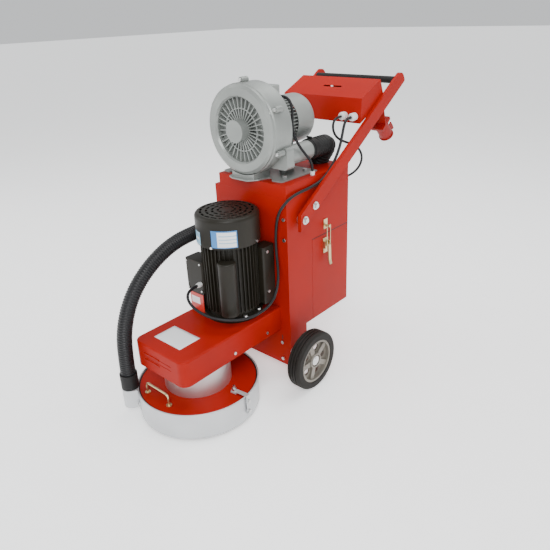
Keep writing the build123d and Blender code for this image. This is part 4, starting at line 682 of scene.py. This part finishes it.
def cowl_film(name, first, last, z0, z1, columns, rows, finishes, pick):
    """A film wrapped on the motor's cowl between two angles, in degrees from the machine's right."""
    def place(u, v):
        angle = math.radians(first + (last - first) * u)
        radius = COWL_RADIUS + FILM_GAP
        return Vector((radius * math.cos(angle), MOTOR_Y + radius * math.sin(angle),
                       z0 + (z1 - z0) * v))
    return film(name, place, columns, rows, finishes, pick)


class GRINDER_OT_labels(bpy.types.Operator):
    """Lay the blank labels on the motor, the housing and the switch box"""

    bl_idname = "grinder.labels"
    bl_label = "Labels"

    def execute(self, context):
        def plate(u, v):
            """Stripe at one side, a thin border, and faint blank lines for the ratings."""
            if u < 0.24 or u > 0.96 or v > 0.93 or v < 0.06:
                return 1
            if u > 0.3 and any(abs(v - row) < 0.026 for row in (0.3, 0.5, 0.7)):
                return 2
            return 0

        cowl_film("motor_label", -74, -28, 0.520, 0.574, 50, 40,
                  ["label film", "blue film", "pale blue film"], plate)
        cowl_film("motor_sticker", -120, -101, 0.516, 0.559, 12, 10, ["pale blue film", "label film"],
                  lambda u, v: 1 if 0.15 < u < 0.85 and 0.35 < v < 0.6 else 0)
        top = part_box("belt_housing")[1].z + 0.0002
        flat_film("housing_label", (-0.072, SPINDLE_Y - 0.095, top), (0.120, 0, 0), (0, 0.080, 0),
                  12, 8, ["label film"], lambda u, v: 0)
        front = SPINDLE_Y + 0.095 - 0.0004
        flat_film("switch_label", (-0.113, front, 0.265), (0.063, 0, 0), (0, 0, 0.065), 24, 24,
                  ["red film", "label film"],
                  lambda u, v: 1 if 0.08 < u < 0.72 and 0.42 < v < 0.78 else 0)
        return {"FINISHED"}


def pad(name, centre, along, across, out, size, finish_name, edge):
    """A block with rounded edges: size is its length, width and thickness along three directions."""
    mesh = bpy.data.meshes.new(name)
    shape = bmesh.new()
    bmesh.ops.create_cube(shape, size=1.0)
    bmesh.ops.scale(shape, vec=Vector(size), verts=shape.verts)
    bmesh.ops.bevel(shape, geom=shape.edges[:], offset=min(edge, min(size) * 0.45), segments=3,
                    profile=0.7, affect="EDGES")
    turn = Matrix((Vector(along).normalized(), Vector(across).normalized(), Vector(out).normalized()))
    shape.transform(Matrix.Translation(Vector(centre)) @ turn.transposed().to_4x4())
    bmesh.ops.recalc_face_normals(shape, faces=shape.faces)
    shape.to_mesh(mesh)
    shape.free()
    mesh.materials.append(FINISHES[finish_name])
    for face in mesh.polygons:
        face.use_smooth = True
    item = link(bpy.data.objects.new(name, mesh))
    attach(item, "frame")
    return item


class GRINDER_OT_details(bpy.types.Operator):
    """Make the pressed slots and the groove as dark pads of painted shade, with raised lips on the
    housing's slots, and the indicator in the control box's window
    """

    bl_idname = "grinder.details"
    bl_label = "Pressed details"

    def execute(self, context):
        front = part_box("belt_housing")[0].y
        # The slots and the groove are dark pads of painted shade laid on the faces.
        for number, z in enumerate((0.207, 0.228)):
            pad(f"housing_slot_{number}", (-0.030, front, z), (1, 0, 0), (0, 0, 1), (0, -1, 0),
                (0.066, 0.0030, 0.0010), "shadow line", 0.0014)
            pad(f"housing_slot_lip_{number}", (-0.030, front - 0.0004, z + 0.0042), (1, 0, 0),
                (0, 0, 1), (0, -1, 0), (0.070, 0.0058, 0.0044), "red enamel", 0.0021)
        pad("cabinet_slot", (0.119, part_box("cabinet_panels")[0].y, 0.148), (0, 0, 1), (1, 0, 0),
            (0, -1, 0), (0.016, 0.004, 0.0012), "shadow line", 0.0018)
        slope = Vector((0, 49, 111)).normalized()
        out = Vector((0, -slope.z, slope.y))
        pad("control_groove", (0.098, SPINDLE_Y + 0.689, 0.869), (1, 0, 0), slope,
            (0, -1, 0), (0.048, 0.0022, 0.0014), "shadow line", 0.001)
        pad("window_indicator", (0.003, SPINDLE_Y + 0.7182, 0.9075), (1, 0, 0), slope, out,
            (0.009, 0.006, 0.003), "white plastic", 0.001)
        return {"FINISHED"}


class GRINDER_OT_finishes(bpy.types.Operator):
    """Give every CAD node its finish"""

    bl_idname = "grinder.finishes"
    bl_label = "Finishes"

    def execute(self, context):
        FINISHES.update(make_finishes(context.scene.grinder_colours))
        for name, nodes in NODE_FINISHES.items():
            for node in nodes:
                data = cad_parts[node].data
                if not data.materials:
                    data.materials.append(FINISHES[name])
                for i in range(len(data.materials)):
                    data.materials[i] = FINISHES[name]
        return {"FINISHED"}


# ---------------------------------------------------------------- camera and studio

class GRINDER_OT_camera(bpy.types.Operator):
    """Make the camera in front of the machine's right-hand corner"""

    bl_idname = "grinder.camera"
    bl_label = "Camera"

    def execute(self, context):
        level = math.cos(CAMERA_PITCH)
        forward = Vector((-math.sin(CAMERA_AZIMUTH) * level, math.cos(CAMERA_AZIMUTH) * level,
                          -math.sin(CAMERA_PITCH)))
        right = Vector((math.cos(CAMERA_AZIMUTH), math.sin(CAMERA_AZIMUTH), 0))
        down = forward.cross(right)
        side = right * math.cos(CAMERA_ROLL) - down * math.sin(CAMERA_ROLL)
        up = -(right * math.sin(CAMERA_ROLL) + down * math.cos(CAMERA_ROLL))
        data = bpy.data.cameras.new("camera")
        data.lens = context.scene.grinder_studio.lens
        data.shift_x, data.shift_y = CAMERA_SHIFT
        data.clip_start = 0.05
        camera = link(bpy.data.objects.new("camera", data))
        turn = Matrix((side, up, -forward)).transposed().to_4x4()
        camera.matrix_world = Matrix.Translation(CAMERA_PLACE) @ turn
        context.scene.camera = camera
        return {"FINISHED"}


def soft_light(name, place, size, power):
    """A large square light that faces the middle of the machine."""
    data = bpy.data.lights.new(name, "AREA")
    data.size = size
    data.energy = power
    lamp = link(bpy.data.objects.new(name, data))
    lamp.location = place
    lamp.rotation_mode = "QUATERNION"
    lamp.rotation_quaternion = (Vector(LIGHTS_AIM) - Vector(place)).to_track_quat("-Z", "Y")
    return lamp


class GRINDER_OT_studio(bpy.types.Operator):
    """Make the pale floor, the soft lights and the even surroundings"""

    bl_idname = "grinder.studio"
    bl_label = "Studio"

    def execute(self, context):
        studio = context.scene.grinder_studio
        half = FLOOR_HALF
        mesh = bpy.data.meshes.new("floor")
        mesh.from_pydata([(-half, -half, 0), (half, -half, 0), (half, half, 0), (-half, half, 0)], [],
                         [(0, 1, 2, 3)])
        paper = finish("Pale floor", studio.floor, 0.85, grain=60, bump=0.02, vary=0.01, dust=0.0,
                       shine=0.1)
        shader = paper.node_tree.nodes["Principled BSDF"]
        shader.inputs["Emission Color"].default_value = (1, 1, 1, 1)
        shader.inputs["Emission Strength"].default_value = 0.55
        mesh.materials.append(paper)
        floor = link(bpy.data.objects.new("floor", mesh))
        soft_light("key_light", (2.2, -2.4, 2.9), 1.6, 105 * studio.light)
        soft_light("fill_light", (-2.6, -1.8, 1.9), 2.4, 40 * studio.light)
        soft_light("top_light", (0.2, 0.9, 3.4), 2.2, 80 * studio.light)
        world = bpy.data.worlds.new("surroundings")
        world.use_nodes = True
        sky = world.node_tree.nodes["Background"]
        sky.inputs["Color"].default_value = (0.93, 0.95, 0.97, 1)
        sky.inputs["Strength"].default_value = 0.8
        context.scene.world = world
        return {"FINISHED"}


class GRINDER_PT_panel(bpy.types.Panel):
    """Sidebar panel with every step and its sizes"""

    bl_idname = "GRINDER_PT_panel"
    bl_label = "Concrete Grinder"
    bl_space_type = "VIEW_3D"
    bl_region_type = "UI"
    bl_category = "Grinder"

    def draw(self, context):
        for label, settings in (
            ("Colours", context.scene.grinder_colours),
            ("Hose and elbow", context.scene.grinder_hose),
            ("Cables", context.scene.grinder_cables),
            ("Studio", context.scene.grinder_studio),
        ):
            box = self.layout.box()
            box.label(text=label)
            for name in type(settings).__annotations__:
                box.prop(settings, name)
        for step in OPERATORS:
            self.layout.operator(step.bl_idname)


SETTINGS = {
    "grinder_colours": GrinderColours,
    "grinder_hose": GrinderHose,
    "grinder_cables": GrinderCables,
    "grinder_studio": GrinderStudio,
}
OPERATORS = (GRINDER_OT_camera, GRINDER_OT_finishes, GRINDER_OT_cables, GRINDER_OT_hose,
             GRINDER_OT_elbow, GRINDER_OT_labels, GRINDER_OT_details, GRINDER_OT_studio)


def register():
    """Add the settings, the operators and the panel to Blender."""
    for name, kind in SETTINGS.items():
        bpy.utils.register_class(kind)
        setattr(bpy.types.Scene, name, PointerProperty(type=kind))
    for kind in (*OPERATORS, GRINDER_PT_panel):
        bpy.utils.register_class(kind)


def unregister():
    """Take them out again."""
    for kind in reversed((*OPERATORS, GRINDER_PT_panel)):
        bpy.utils.unregister_class(kind)
    for name, kind in SETTINGS.items():
        delattr(bpy.types.Scene, name)
        bpy.utils.unregister_class(kind)


def main():
    register()
    bpy.ops.grinder.camera()
    bpy.ops.grinder.finishes()
    bpy.ops.grinder.cables()
    bpy.ops.grinder.hose()
    bpy.ops.grinder.elbow()
    bpy.ops.grinder.labels()
    bpy.ops.grinder.details()
    bpy.ops.grinder.studio()


if __name__ == "__main__":
    main()
